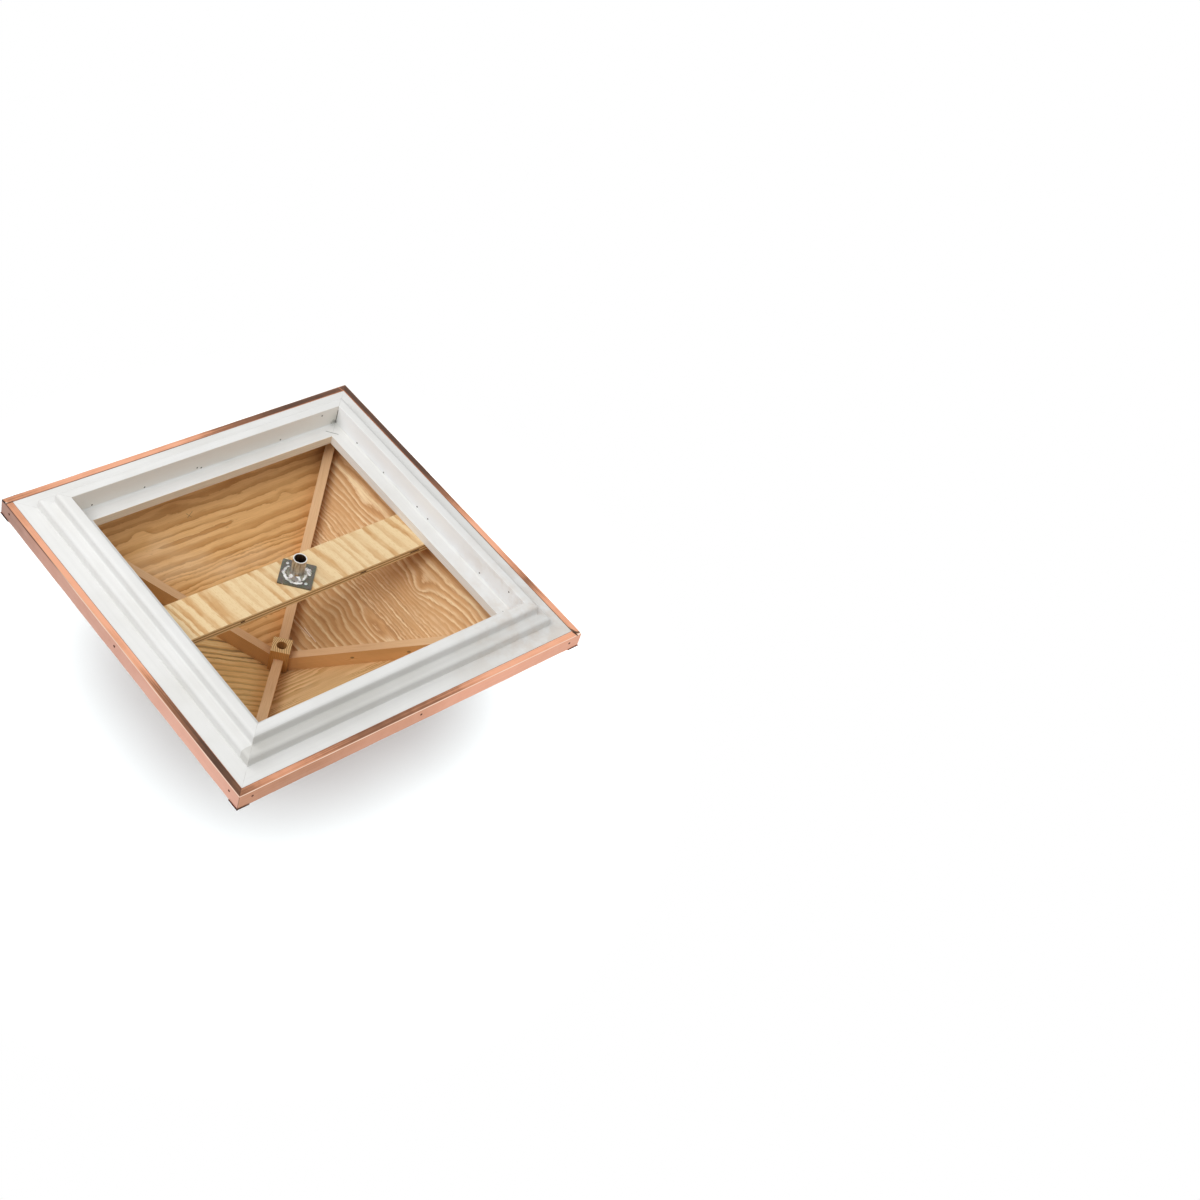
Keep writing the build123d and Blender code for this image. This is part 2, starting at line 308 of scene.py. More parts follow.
class Finish(Nodes):
    """A material in the making, on the place of each point in the part's frame."""

    def __init__(self, name):
        super().__init__(bpy.data.materials.new(name))
        self.place = self.node("ShaderNodeTexCoord", output="Object")
        apart = self.tree.nodes.new("ShaderNodeSeparateXYZ")
        self.tree.links.new(self.place.socket, apart.inputs[0])
        self.x, self.y, self.z = (Field(self, apart.outputs[i]) for i in range(3))

    def dot(self, direction):
        """Distance of the place along a direction."""
        return self.vector_math("DOT_PRODUCT", {0: self.place, 1: tuple(direction)})

    def away_from(self, centre):
        """Distance of the place from a point in space."""
        return self.vector_math("DISTANCE", {0: self.place, 1: tuple(centre)})

    def from_axis(self, x=0.0, y=0.0):
        """Distance of the place from an upright line."""
        across = self.vector(self.x - x if x else self.x, self.y - y if y else self.y, 0.0)
        return self.vector_math("LENGTH", {0: across})

    def reach(self):
        """Square distance from the axis: the greater of those along X and Y."""
        return self.math("MAXIMUM", abs(self.x), abs(self.y))

    def front_or_back(self):
        """1 on the front and back sides of the roof, 0 on the right and left ones."""
        return abs(self.y) > abs(self.x)

    def by_side(self, front, right, back, left):
        """What belongs to each side of the roof."""
        return self.mix(
            self.front_or_back(), self.mix(self.x > 0.0, left, right), self.mix(self.y > 0.0, front, back))

    def vector(self, x, y, z):
        return self.node("ShaderNodeCombineXYZ", None, {0: x, 1: y, 2: z})

    def along_sides(self, long_scale, fine_scale):
        """The place drawn out along each side of the roof, for streaks that run with it."""
        fine_z = self.z * fine_scale
        with_x = self.vector(self.x * long_scale, self.y * fine_scale, fine_z)
        with_y = self.vector(self.x * fine_scale, self.y * long_scale, fine_z)
        return self.node(
            "ShaderNodeMix", {"data_type": "VECTOR"}, {0: self.front_or_back(), 4: with_y, 5: with_x}, 1)

    def noise(self, vector, scale=1.0, detail=2.0, roughness=0.5):
        return self.node(
            "ShaderNodeTexNoise", None,
            {"Vector": vector, "Scale": scale, "Detail": detail, "Roughness": roughness})

    def ease(self, value, low, high, start=0.0, end=1.0):
        """Start below low, end above high, and a smooth step between."""
        return self.node(
            "ShaderNodeMapRange", {"interpolation_type": "SMOOTHSTEP"},
            {"Value": value, "From Min": low, "From Max": high, "To Min": start, "To Max": end})

    def fall(self, value, low, high):
        """1 below low, 0 above high, and a smooth step between."""
        return self.ease(value, low, high, 1.0, 0.0)

    def hill(self, along, across, centre, half_sizes):
        """A soft oval hill, 1 high: e to the power of minus its squared distances in half sizes."""
        du = (along - centre[0]) / half_sizes[0]
        dv = (across - centre[1]) / half_sizes[1]
        return self.math("EXPONENT", 0 - du * du - dv * dv)

    def mix(self, factor, first, second, blend="MIX"):
        """Colour between first and second."""
        first, second = ((*c, 1) if isinstance(c, tuple) else c for c in (first, second))
        return self.node(
            "ShaderNodeMix", {"data_type": "RGBA", "blend_type": blend}, {0: factor, 6: first, 7: second}, 2)

    def tint(self, colour, tone, value, low, high, share=1):
        """Colour turned a share of the way to the tone, where the value rises from low to high."""
        amount = self.ease(value, low, high)
        return self.mix(amount if share == 1 else amount * share, colour, tone)

    def ramp(self, value, stops):
        return self.node("ShaderNodeValToRGB", {"stops": stops}, {0: value})

    def grey_ramp(self, value, stops):
        """A number that goes through (position, level) stops."""
        return self.ramp(value, [(position, (level,) * 3) for position, level in stops])

    def within(self, away, radius, softness):
        """1 within the radius, falling smoothly to 0 just outside."""
        return self.fall(away, radius * (1 - softness), radius * (1 + softness))

    def spot(self, centre, radius, softness=0.3):
        """1 within a radius of a point in space."""
        return self.within(self.away_from(centre), radius, softness)

    def stroke(self, start, end, radius, softness=0.4):
        """1 within a radius of a straight line in space between two points."""
        start, end = Vector(start), Vector(end)
        line = end - start
        from_start = self.vector_math("SUBTRACT", {0: self.place, 1: tuple(start)}, 0)
        passed = self.vector_math("DOT_PRODUCT", {0: from_start, 1: tuple(line / line.length_squared)})
        nearest = self.vector_math(
            "SCALE", {0: tuple(line), "Scale": self.math("MULTIPLY", passed, 1.0, clamp=True)}, 0)
        return self.within(self.vector_math("DISTANCE", {0: from_start, 1: nearest}), radius, softness)

    def surface(self, colour, roughness, height, distance, strength, metallic=0.0, sheen=0.5):
        """Principled surface, raised by height times distance. The sheen is its specular level."""
        normal = self.node(
            "ShaderNodeBump", None, {"Height": height, "Distance": distance, "Strength": strength})
        shader = self.node("ShaderNodeBsdfPrincipled", None, {
            "Base Color": colour, "Roughness": roughness, "Normal": normal, "Metallic": metallic,
            "Specular IOR Level": sheen})
        self.node("ShaderNodeOutputMaterial", None, {"Surface": shader})
        return self.owner


def turned(points, quarter):
    """Points turned about the upright axis by quarter turns: the front side becomes the right, back, left."""
    c, s = [(1, 0), (0, 1), (-1, 0), (0, -1)][quarter % 4]
    x, y, z = np.moveaxis(np.asarray(points, float), -1, 0)
    return np.stack([c * x - s * y, s * x + c * y, z], -1)


def eased(corners, radii, steps=6):
    """A closed outline through corners, each rounded by an arc of its radius: the arc's tangent points
    lie radius / tan(half the inner angle) from the corner, and it is drawn in equal turns."""
    corners = np.asarray(corners, float)
    outline = []
    for before, here, after, radius in zip(np.roll(corners, 1, 0), corners, np.roll(corners, -1, 0), radii):
        if radius <= 0:
            outline.append(here[None])
            continue
        towards, onwards = before - here, after - here
        towards, onwards = towards / np.linalg.norm(towards), onwards / np.linalg.norm(onwards)
        half = np.arccos(np.clip(towards @ onwards, -1, 1)) / 2
        middle = here + (towards + onwards) / np.linalg.norm(towards + onwards) * radius / np.sin(half)
        start = here + towards * radius / np.tan(half) - middle
        end = here + onwards * radius / np.tan(half) - middle
        share = np.linspace(0, 1, steps + 1)[:, None]
        turn = np.arccos(np.clip(start @ end / radius**2, -1, 1))
        arc = (np.sin((1 - share) * turn) * start + np.sin(share * turn) * end) / np.sin(turn)
        outline.append(middle + arc)
    return np.concatenate(outline)


def grid_faces(grid, wrap_rows=False, wrap_columns=False, offset=0):
    """Quads of a grid of points numbered row by row, as one array; a wrapped direction meets itself."""
    rows, columns = grid.shape[:2]
    number = np.arange(rows * columns).reshape(rows, columns) + offset
    if wrap_rows:
        number = np.concatenate([number, number[:1]], 0)
    if wrap_columns:
        number = np.concatenate([number, number[:, :1]], 1)
    return np.stack([number[:-1, :-1], number[:-1, 1:], number[1:, 1:], number[1:, :-1]], -1).reshape(-1, 4)


def capped_faces(grid):
    """Faces of a tube of points, a closed ring in each row, with a flat cap at each end."""
    rows, columns = grid.shape[:2]
    ends = [list(range(columns)), list(range((rows - 1) * columns, rows * columns))]
    return grid_faces(grid, wrap_columns=True).tolist() + ends


def make_piece(name, points, faces, finish, sharp=SHARP):
    """An object from points and faces, turned outwards as a whole, and ridden on the body."""
    points = np.asarray(points, float).reshape(-1, 3)
    mesh = bpy.data.meshes.new(name)
    mesh.from_pydata(points.tolist(), [], [tuple(int(i) for i in face) for face in faces])
    mesh.validate()
    mesh.calc_loop_triangles()
    corners = np.zeros(len(mesh.loop_triangles) * 3, np.int32)
    mesh.loop_triangles.foreach_get("vertices", corners)
    a, b, c = points[corners.reshape(-1, 3)].transpose(1, 0, 2)
    if np.einsum("ij,ij->i", a, np.cross(b, c)).sum() < 0:
        mesh.flip_normals()
    mesh.shade_smooth()
    mesh.set_sharp_from_angle(angle=sharp)
    piece = bpy.data.objects.new(name, mesh)
    bpy.context.scene.collection.objects.link(piece)
    mesh.materials.append(finish)
    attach(piece, BODY)
    return piece


def make_group(name, grids, finish, wrap_rows=True, wrap_columns=False):
    """One object from several grids of points. An open end of a grid that lies on an axis, or shrinks
    to a point, is closed by merging its doubled points."""
    faces, offset = [], 0
    for grid in grids:
        faces.append(grid_faces(grid, wrap_rows, wrap_columns, offset))
        offset += grid.shape[0] * grid.shape[1]
    points = np.concatenate([grid.reshape(-1, 3) for grid in grids])
    mesh = make_piece(name, points, np.concatenate(faces), finish).data
    work = bmesh.new()
    work.from_mesh(mesh)
    bmesh.ops.remove_doubles(work, verts=work.verts, dist=1e-6)
    bmesh.ops.recalc_face_normals(work, faces=work.faces)
    work.to_mesh(mesh)
    work.free()
    mesh.shade_smooth()
    mesh.set_sharp_from_angle(angle=SHARP)


def swept_side(outline, stations, quarter, shape=None):
    """A closed outline of (outward, level) carried along one side. A station from -1 to 1 stands at that
    share of each point's own distance from the axis, so both ends are mitred. shape(points, share) bends
    the result. Gives a grid of points, a ring for each station."""
    outward, level, share = np.broadcast_arrays(*np.asarray(outline, float).T[:, None], stations[:, None])
    points = np.stack([share * outward, -outward, level], -1)
    if shape is not None:
        points = shape(points, share)
    return turned(points, quarter)


def lathe(profile, centre, axis, turns=24):
    """An outline of (radius, height) turned about an axis through centre, in equal turns."""
    axis = np.asarray(axis, float) / np.linalg.norm(axis)
    side = np.cross(axis, [0.0, 0.0, 1.0] if abs(axis[2]) < 0.9 else [1.0, 0.0, 0.0])
    side /= np.linalg.norm(side)
    other = np.cross(axis, side)
    angle = np.linspace(0, 2 * pi, turns, endpoint=False)[:, None, None]
    radius, height = np.asarray(profile, float).T[:, None, :, None]
    around = np.cos(angle) * side + np.sin(angle) * other
    return np.asarray(centre, float) + radius * around + height * axis


def dress(node_name, material):
    """Give a carried-over CAD node its finish."""
    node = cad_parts[node_name]
    node.data.materials.clear()
    node.data.materials.append(material)


def paint_finish():
    """White satin paint on boards: brush streaks along each side, faint clouds and specks, a hair line
    at the mitres, marks and painted light on the collar, and bare pine on the ring's inner edge and hidden
    top."""
    f = Finish("white_paint")
    painted, bare_pine = tones("paint", "bare_pine")
    reach = f.reach()
    streaks = f.noise(f.along_sides(5, 130), 1.0, 3.0, 0.6)
    clouds = f.noise(f.place, 9.0, 3.0, 0.55)
    specks = f.noise(f.place, 420.0, 2.0, 0.6)
    orange_peel = f.noise(f.place, 900.0, 2.0, 0.5)
    paint = f.tint(painted, (0.75, 0.745, 0.72), clouds, 0.35, 0.75)
    paint = f.tint(paint, (0.70, 0.70, 0.69), streaks, 0.35, 0.8, 0.35)
    paint = f.tint(paint, (0.38, 0.35, 0.31), specks, 0.70, 0.80, 0.30)
    mitre = f.fall(abs(abs(f.x) - abs(f.y)), 0.15 * MM, 0.7 * MM)
    mitre = mitre * f.ease(f.noise(f.place, 60.0, 2.0, 0.5), 0.35, 0.6)
    paint = f.mix(mitre * 0.45, paint, (0.33, 0.30, 0.26))
    edge_dirt = f.ease(reach, WOOD_HALF - 16 * MM, WOOD_HALF - 10 * MM) * 0.25
    paint = f.mix(edge_dirt * clouds, paint, (0.45, 0.40, 0.33))
    paint = marked_paint(f, paint, reach, clouds)
    ring_half = sizes().ring_half
    bare = f.fall(reach, ring_half + 0.3 * MM, ring_half + 0.8 * MM)
    pine_grain = f.noise(f.vector(f.x * 14, f.y * 14, f.z * 700), 1.0, 3.0, 0.6)
    pine = f.tint(bare_pine, (0.70, 0.60, 0.47), pine_grain, 0.3, 0.7)
    primed = f.tint(painted, (0.74, 0.66, 0.56), pine_grain, 0.4, 0.7, 0.6)
    front_edge = f.y + abs(f.x) < 0.0
    colour = f.mix(bare, paint, f.mix(front_edge, primed, pine))
    colour = f.mix(f.z > RING_TOP - 0.4 * MM, colour, pine)
    roughness = f.ease(streaks, 0.2, 0.8, 0.42, 0.58) + bare * 0.2
    height = streaks * 0.6 + orange_peel * 0.15 - mitre * 1.2
    return f.surface(colour, roughness, height, 0.12 * MM, 0.6, sheen=0.4)


def marked_paint(f, paint, reach, clouds):
    """The paint with the real roof's marks and with painted light: the collar's right inner wall painted
    paler and cooler and its front inner wall warmer and darker, a crack with dark blobs and a pencil line at
    one corner, painted shade on a riser, and a darker beige patch at the back right corner."""
    in_collar = f.fall(reach, COLLAR_INNER + 0.3 * MM, COLLAR_INNER + 0.6 * MM)
    in_collar = in_collar * f.fall(f.z, SOFFIT_LEVEL - 5 * MM, SOFFIT_LEVEL - 3 * MM)
    # Painted light on the collar's inner walls: the right wall paler and cooler, the front wall warmer and
    # darker
    paint = f.mix(in_collar * (f.x > abs(f.y)) * 0.85, paint, (0.88, 0.895, 0.91))
    paint = f.mix(in_collar * (0 - f.y > abs(f.x)) * 0.8, paint, (0.80, 0.765, 0.70))
    x, y, z = in_metres(MARK_SPOT)
    corner = (COLLAR_INNER, -COLLAR_INNER)
    crack = f.stroke((*corner, SOFFIT_LEVEL), (*corner, 12 * MM), 1.1 * MM)
    ragged = f.ease(f.noise(f.place, 260.0, 3.0, 0.7), 0.42, 0.60)
    blobs = f.spot((x - 6 * MM, y - 1 * MM, z + 3 * MM), 6 * MM, 0.7) * ragged
    blobs = f.math("MAXIMUM", blobs, f.spot((x - 0.5 * MM, y - 1 * MM, z + 3 * MM), 3.2 * MM, 0.6))
    pencil = f.stroke(*in_metres(PENCIL_LINE), 0.8 * MM)
    dark_marks = f.math("MAXIMUM", f.math("MAXIMUM", crack, blobs), pencil)
    paint = f.mix(dark_marks * 0.8, paint, (0.11, 0.10, 0.085))
    smear = f.spot((x, y, z), 16 * MM, 0.9) * f.ease(clouds, 0.3, 0.6)
    paint = f.mix(smear * 0.30, paint, (0.34, 0.36, 0.31))
    # Painted shade: the back side's riser darkened to a greenish grey, most towards the left end
    riser = f.ease(f.y, *in_metres(BACK_RISER)) * f.fall(f.z, SOFFIT_LEVEL - 5 * MM, SOFFIT_LEVEL - 1 * MM)
    toward_left = f.ease(f.x, -340 * MM, 300 * MM, 1.0, 0.30)
    paint = f.mix(riser * toward_left * 0.34, paint, (0.39, 0.37, 0.31))
    # A darker beige patch, broken up by noise, over the back right corner of the collar
    beige_patch = f.spot(in_metres(BEIGE_PATCH_SPOT), 160 * MM, 0.9)
    beige_patch = beige_patch * f.ease(f.noise(f.place, 26.0, 3.0, 0.6), 0.38, 0.66)
    return f.mix(beige_patch * 0.45, paint, (0.60, 0.51, 0.43))


def ring_number(f, height, edges):
    """Number of rings passed: it rises by one from each edge to the next, and evenly beyond the edges."""
    low, high, count = edges[0], edges[-1], len(edges) - 1
    stops = [((edge - low) / (high - low), i / count) for i, edge in enumerate(edges)]
    within = f.grey_ramp((height - low) / (high - low), stops) * count
    beyond = f.math("MINIMUM", height - low, 0.0) + f.math("MAXIMUM", height - high, 0.0)
    return within + beyond / (18 * MM)


def sliced_rings(f, along, across, seed, edges, warp, wiggle, fringe, figures=()):
    """Growth rings of a sliced veneer. Their height is the distance across, plus slow and quick noise
    stretched along the grain, a fringe of fibres, and a hill for each figure of (along, across, half
    length, half width, rise). A ring starts at each edge in height. Gives the share of a ring passed
    and a random number for the ring."""
    slow = f.noise(f.vector(along * 3.2, across * 9.0, seed))
    quick = f.noise(f.vector(along * 15.0, across * 36.0, seed + 7.3))
    fibres = f.noise(f.vector(along * 60.0, across * 420.0, seed + 3.1), 1.0, 2.0, 0.6)
    height = across + (slow - 0.5) * warp + (quick - 0.5) * wiggle + (fibres - 0.5) * (2 * fringe)
    for u, v, half_length, half_width, rise in figures:
        height = height + f.hill(along, across, (u, v), (half_length, half_width)) * rise
    rings = ring_number(f, height, edges)
    number = f.math("FLOOR", rings)
    chance = f.node("ShaderNodeTexWhiteNoise", {"noise_dimensions": "1D"}, {"W": number + seed})
    return rings - number, chance


def veneer_colour(f, along, across, seed, rings, tones, least, weight):
    """Colour of a veneer: each ring goes through the tones, more or less marked by its chance and by
    the weight, under streaks and fine fibres along the grain and soft clouds. The tones are the
    ground, the darkest, and the stops of the ramp."""
    plain, darkest, stops = tones
    share, chance = rings
    fading = f.noise(f.vector(along * 9, across * 55, seed + 5.5), 1.0, 2.0, 0.55)
    marked = f.ease(chance, 0.1, 0.9, least, 1.0) * f.ease(fading, 0.30, 0.54, 0.50, 1.0) * weight
    colour = f.mix(marked, plain, f.ramp(share, stops))
    clouds = f.noise(f.vector(along * 5, across * 11, seed + 3), 1.0, 3.0, 0.55)
    streaks = f.noise(f.vector(along * 11, across * 170, seed + 1.9), 1.0, 3.0, 0.6)
    fibres = f.noise(f.vector(along * 22, across * 900, seed), 1.0, 3.0, 0.6)
    shaded = between(plain, darkest, 0.45)
    lit = between(plain, (1.0, 0.84, 0.60), 0.65)
    colour = f.tint(colour, shaded, clouds, 0.45, 0.75, 0.26)
    colour = f.mix(f.ease(clouds, 0.25, 0.48, 0.34, 0.0), colour, lit)
    colour = f.tint(colour, shaded, streaks, 0.42, 0.72, 0.30)
    colour = f.tint(colour, tuple(0.8 * d for d in darkest), fibres, 0.45, 0.80, 0.32)
    return colour, fibres


def veneer_finish(name, axes, seed, edges, warp, wiggle, fringe, tones, least, figures=(), marks=(),
                  weigh=None, shade=None):
    """Bare veneer on a roof panel, with its edges and figures in mm. Each of the marks is a thin stroke,
    such as a scratch. Weigh gives the weight of the rings from the distances along and across. A shade
    of (centre, half sizes, tone) is painted shade: it darkens a soft oval."""
    f = Finish(name)
    along_axis, across_axis, across_start = axes
    along = f.dot(along_axis)
    across = f.dot(across_axis) - across_start
    rings = sliced_rings(
        f, along, across, seed, in_metres(edges), warp * MM, wiggle * MM, fringe * MM, in_metres(figures))
    weight = weigh(f, along, across) if weigh else 1.0
    colour, fibres = veneer_colour(f, along, across, seed, rings, tones, least, weight)
    if shade:
        centre, half_sizes, darker = shade
        oval = f.hill(along, across, in_metres(centre), in_metres(half_sizes))
        colour = f.mix(oval, colour, darker, "MULTIPLY")
    flecks = f.noise(f.vector(along * 70, across * 380, seed + 9))
    colour = f.tint(colour, (0.26, 0.13, 0.05), flecks, 0.68, 0.78, 0.40)
    for start, end, mark_tone in marks:
        colour = f.mix(f.stroke(start, end, 0.6 * MM) * 0.6, colour, mark_tone)
    return f.surface(colour, f.ease(fibres, 0.2, 0.8, 0.55, 0.75), fibres, 0.10 * MM, 0.5, sheen=0.25)


def panel_axes(quarter):
    """Unit directions of one roof panel, along its eave and down its slope, and the inner apex's
    distance along the second."""
    pitch = sizes().roof_pitch
    eave = turned([1.0, 0.0, 0.0], quarter)
    down = turned([0.0, -cos(pitch), -sin(pitch)], quarter)
    return eave, down, down[2] * roof_levels()[0]


def on_panel(quarter, along, down_slope):
    """Point on the underside of a roof panel, from its distances in mm along the eave and down it."""
    eave, down = panel_axes(quarter)[:2]
    return eave * along * MM + down * down_slope * MM + np.array([0.0, 0.0, roof_levels()[0]])


def broad_tones(pale, brown, deep):
    """Rings of broad soft brown bands, each with a thin deep edge, on a pale ground."""
    return between(pale, brown, 0.4), deep, [
        (0.0, between(pale, brown, 0.1)), (0.04, between(brown, deep, 0.8)),
        (0.10, between(brown, deep, 0.65)), (0.22, brown), (0.38, between(brown, pale, 0.15)),
        (0.54, between(brown, pale, 0.85)), (0.75, pale), (1.0, between(pale, brown, 0.1))]


def lined_tones(line, ground, deep):
    """Rings of thin pale lines on a ground that darkens towards the next line."""
    return ground, deep, [
        (0.0, between(ground, line, 0.4)), (0.10, between(ground, line, 0.9)), (0.18, line),
        (0.42, between(ground, line, 0.3)), (0.62, ground), (0.82, between(ground, deep, 0.5)),
        (0.92, between(ground, deep, 0.65)), (1.0, between(ground, line, 0.4))]


def striped_tones(pale, golden, deep):
    """Rings of a dark stripe and a pale streak on a golden ground."""
    return golden, deep, [
        (0.0, between(golden, deep, 0.3)), (0.04, deep), (0.19, deep), (0.30, between(golden, deep, 0.2)),
        (0.42, golden), (0.54, pale), (0.66, between(golden, pale, 0.3)), (0.80, pale), (1.0, golden)]


def back_weight(f, along, across):
    """The back panel's bands show all over near the hub, to the right of the middle below that, and
    at both sides near the eave."""
    right = f.ease(along, -20 * MM, 20 * MM, 0.10, 1.0)
    sides = f.ease(abs(along - 5 * MM), 45 * MM, 75 * MM, 0.15, 1.0)
    lower = right + (sides - right) * f.ease(across, 155 * MM, 166 * MM)
    return 0.8 + (lower - 0.8) * f.ease(across, 104 * MM, 118 * MM)


def left_weight(f, along, across):
    """The left panel's stripes are stronger on the side of the back corner."""
    return f.ease(across, -10 * MM, 15 * MM, 0.50, 1.0)


def finish_panels():
    """Each roof panel has its own veneer, with the rings and figures that show on it."""
    scratch, nick = (0.20, 0.13, 0.07), (1.0, 0.92, 0.78)
    dress("plywood_panel_front", veneer_finish(
        "plywood_front", panel_axes(0), 1.3, warp=17, wiggle=13, fringe=3, least=0.80,
        tones=broad_tones(*tones("ply_pale", "ply_middle", "ply_dark")),
        edges=[196, 207, 217, 231.5, 240, 246, 261, 280.5, 313, 336.5, 359, 375, 392],
        figures=[
            (-50, 303, 110, 7.5, 15), (-50, 316, 120, 6, -12), (166, 323, 15, 12, -13),
            (-160, 345, 22, 12, -13), (-78, 376, 42, 9, -12), (62, 345, 40, 10, 5), (62, 384, 34, 8, -7)],
        marks=[(on_panel(0, -52, 343), on_panel(0, -38, 351), scratch),
               (on_panel(0, -51, 351), on_panel(0, -44, 342), scratch)]))
    dress("plywood_panel_right", veneer_finish(
        "plywood_right", panel_axes(1), 5.1, warp=22, wiggle=14, fringe=3.6, least=0.35,
        tones=lined_tones((1.0, 0.80, 0.51), (0.695, 0.405, 0.19), (0.45, 0.22, 0.088)),
        edges=[72, 83, 93, 103, 118, 133, 148, 162, 176, 190, 207, 220, 226.5, 233, 239, 245, 251, 257, 264,
               271, 277.5, 284, 291.5, 300, 310, 321, 334, 349, 365, 384],
        figures=[
            (76, 200, 42, 12, 19), (-10, 168, 24, 30, -13), (72, 322, 24, 18, 18), (185, 345, 60, 32, -15),
            (-150, 350, 50, 16, 14)],
        marks=[(on_panel(1, -64, 90.5), on_panel(1, -5, 92.5), nick),
               (on_panel(1, -30, 96.0), on_panel(1, 12, 94.5), nick)],
        # Painted shade: a darker soft oval near the hub
        shade=((0, 130), (110, 75), (0.80, 0.76, 0.68))))
    dress("plywood_panel_back", veneer_finish(
        "plywood_back", panel_axes(2), 8.7, warp=12, wiggle=14, fringe=4.5, least=0.75, weigh=back_weight,
        tones=broad_tones((0.93, 0.66, 0.36), (0.60, 0.36, 0.13), (0.46, 0.25, 0.08)),
        edges=[30, 44, 56, 68, 82, 98, 119, 136, 172, 179, 186, 195, 210, 230],
        figures=[(-55, 92, 22, 14, 12), (45, 134, 60, 10, 3)]))
    eave, down = panel_axes(3)[:2]
    dress("plywood_panel_left", veneer_finish(
        "plywood_left", (down, eave, 0.0), 2.9, warp=12, wiggle=8, fringe=2.4, least=0.80, weigh=left_weight,
        tones=striped_tones((1.0, 0.79, 0.42), (0.875, 0.565, 0.225), (0.29, 0.20, 0.10)),
        edges=[-140, -124, -110, -96, -80, -63, -43, -26, -9, 9, 22, 38.5, 66, 84, 101, 120, 140]))


def beam_finish():
    """Cross beam: a pale veneer with wide soft tan streaks nearly across its length, and on its edges
    five plies, light and dark by turns, with dark voids."""
    f = Finish("cross_beam")
    tilt = radians(9)
    along = f.dot((sin(tilt), cos(tilt), 0))
    across = f.dot((cos(tilt), -sin(tilt), 0))
    edges = [-290, -263, -249, -237, -213, -182, -138, -112, -94, -71, -51, -30, -8, 14, 34, 66, 91, 116, 134,
             156, 189, 218, 247, 264, 285]
    figures = [(10, -180, 60, 26, 6), (20, 100, 50, 20, -7), (-20, 235, 70, 18, 6)]
    share, chance = sliced_rings(
        f, along, across, 4.4, in_metres(edges), warp=12 * MM, wiggle=9 * MM, fringe=5 * MM,
        figures=in_metres(figures))
    pale, tan_tone, deep = (0.82, 0.625, 0.365), (0.63, 0.375, 0.165), (0.54, 0.285, 0.11)
    stops = [(0.0, pale), (0.09, tan_tone), (0.18, deep), (0.26, tan_tone), (0.40, tan_tone),
             (0.56, between(tan_tone, pale, 0.75)), (0.75, pale), (1.0, pale)]
    spread = f.noise(f.vector(along * 18, across * 40, 2.0), 1.0, 3.0, 0.6)
    marked = f.ease(chance, 0.10, 0.60, 0.35, 1.0) * f.ease(spread, 0.30, 0.58, 0.45, 1.0)
    face = f.mix(marked, pale, f.ramp(share, stops))
    speckle = f.noise(f.vector(along * 120, across * 520, 1.0), 1.0, 3.0, 0.65)
    fibres = f.noise(f.vector(along * 22, across * 900, 4.4), 1.0, 3.0, 0.6)
    face = f.tint(face, (0.60, 0.37, 0.16), speckle, 0.50, 0.70, 0.42)
    face = f.tint(face, (0.62, 0.40, 0.19), fibres, 0.45, 0.80, 0.30)
    face = f.tint(face, (0.86, 0.68, 0.42), spread, 0.55, 0.75, 0.25)
    on_edge = f.ease(abs(f.y), beam_high.y - 0.4 * MM, beam_high.y - 0.15 * MM)
    colour = f.mix(on_edge, face, ply_edge(f))
    return f.surface(colour, 0.68, fibres * 0.5 - share * 0.3, 0.12 * MM, 0.5, sheen=0.25)


def ply_edge(f):
    """Edge of the cross beam: five plies by turns light and dark, with voids in the middle one."""
    ply = (beam_high.z - beam_low.z) / 5
    layer = f.math("FRACT", (f.z - beam_low.z) / (2 * ply))
    fibres = f.noise(f.vector(f.x * 22, f.y * 22, f.z * 1400), 1.0, 3.0, 0.6)
    edge = f.tint((0.88, 0.62, 0.32), (0.44, 0.26, 0.11), abs(layer - 0.25), 0.20, 0.28)
    edge = f.tint(edge, (0.24, 0.14, 0.06), fibres, 0.4, 0.75, 0.45)
    void_level = beam_low.z + 2.5 * ply
    for centre, half in in_metres(BEAM_VOIDS):
        void = f.fall(abs(f.x - centre), half * 0.6, half)
        void = void * f.fall(abs(f.z - void_level), ply * 0.3, ply * 0.55)
        edge = f.mix(void, edge, (0.035, 0.022, 0.014))
    return edge


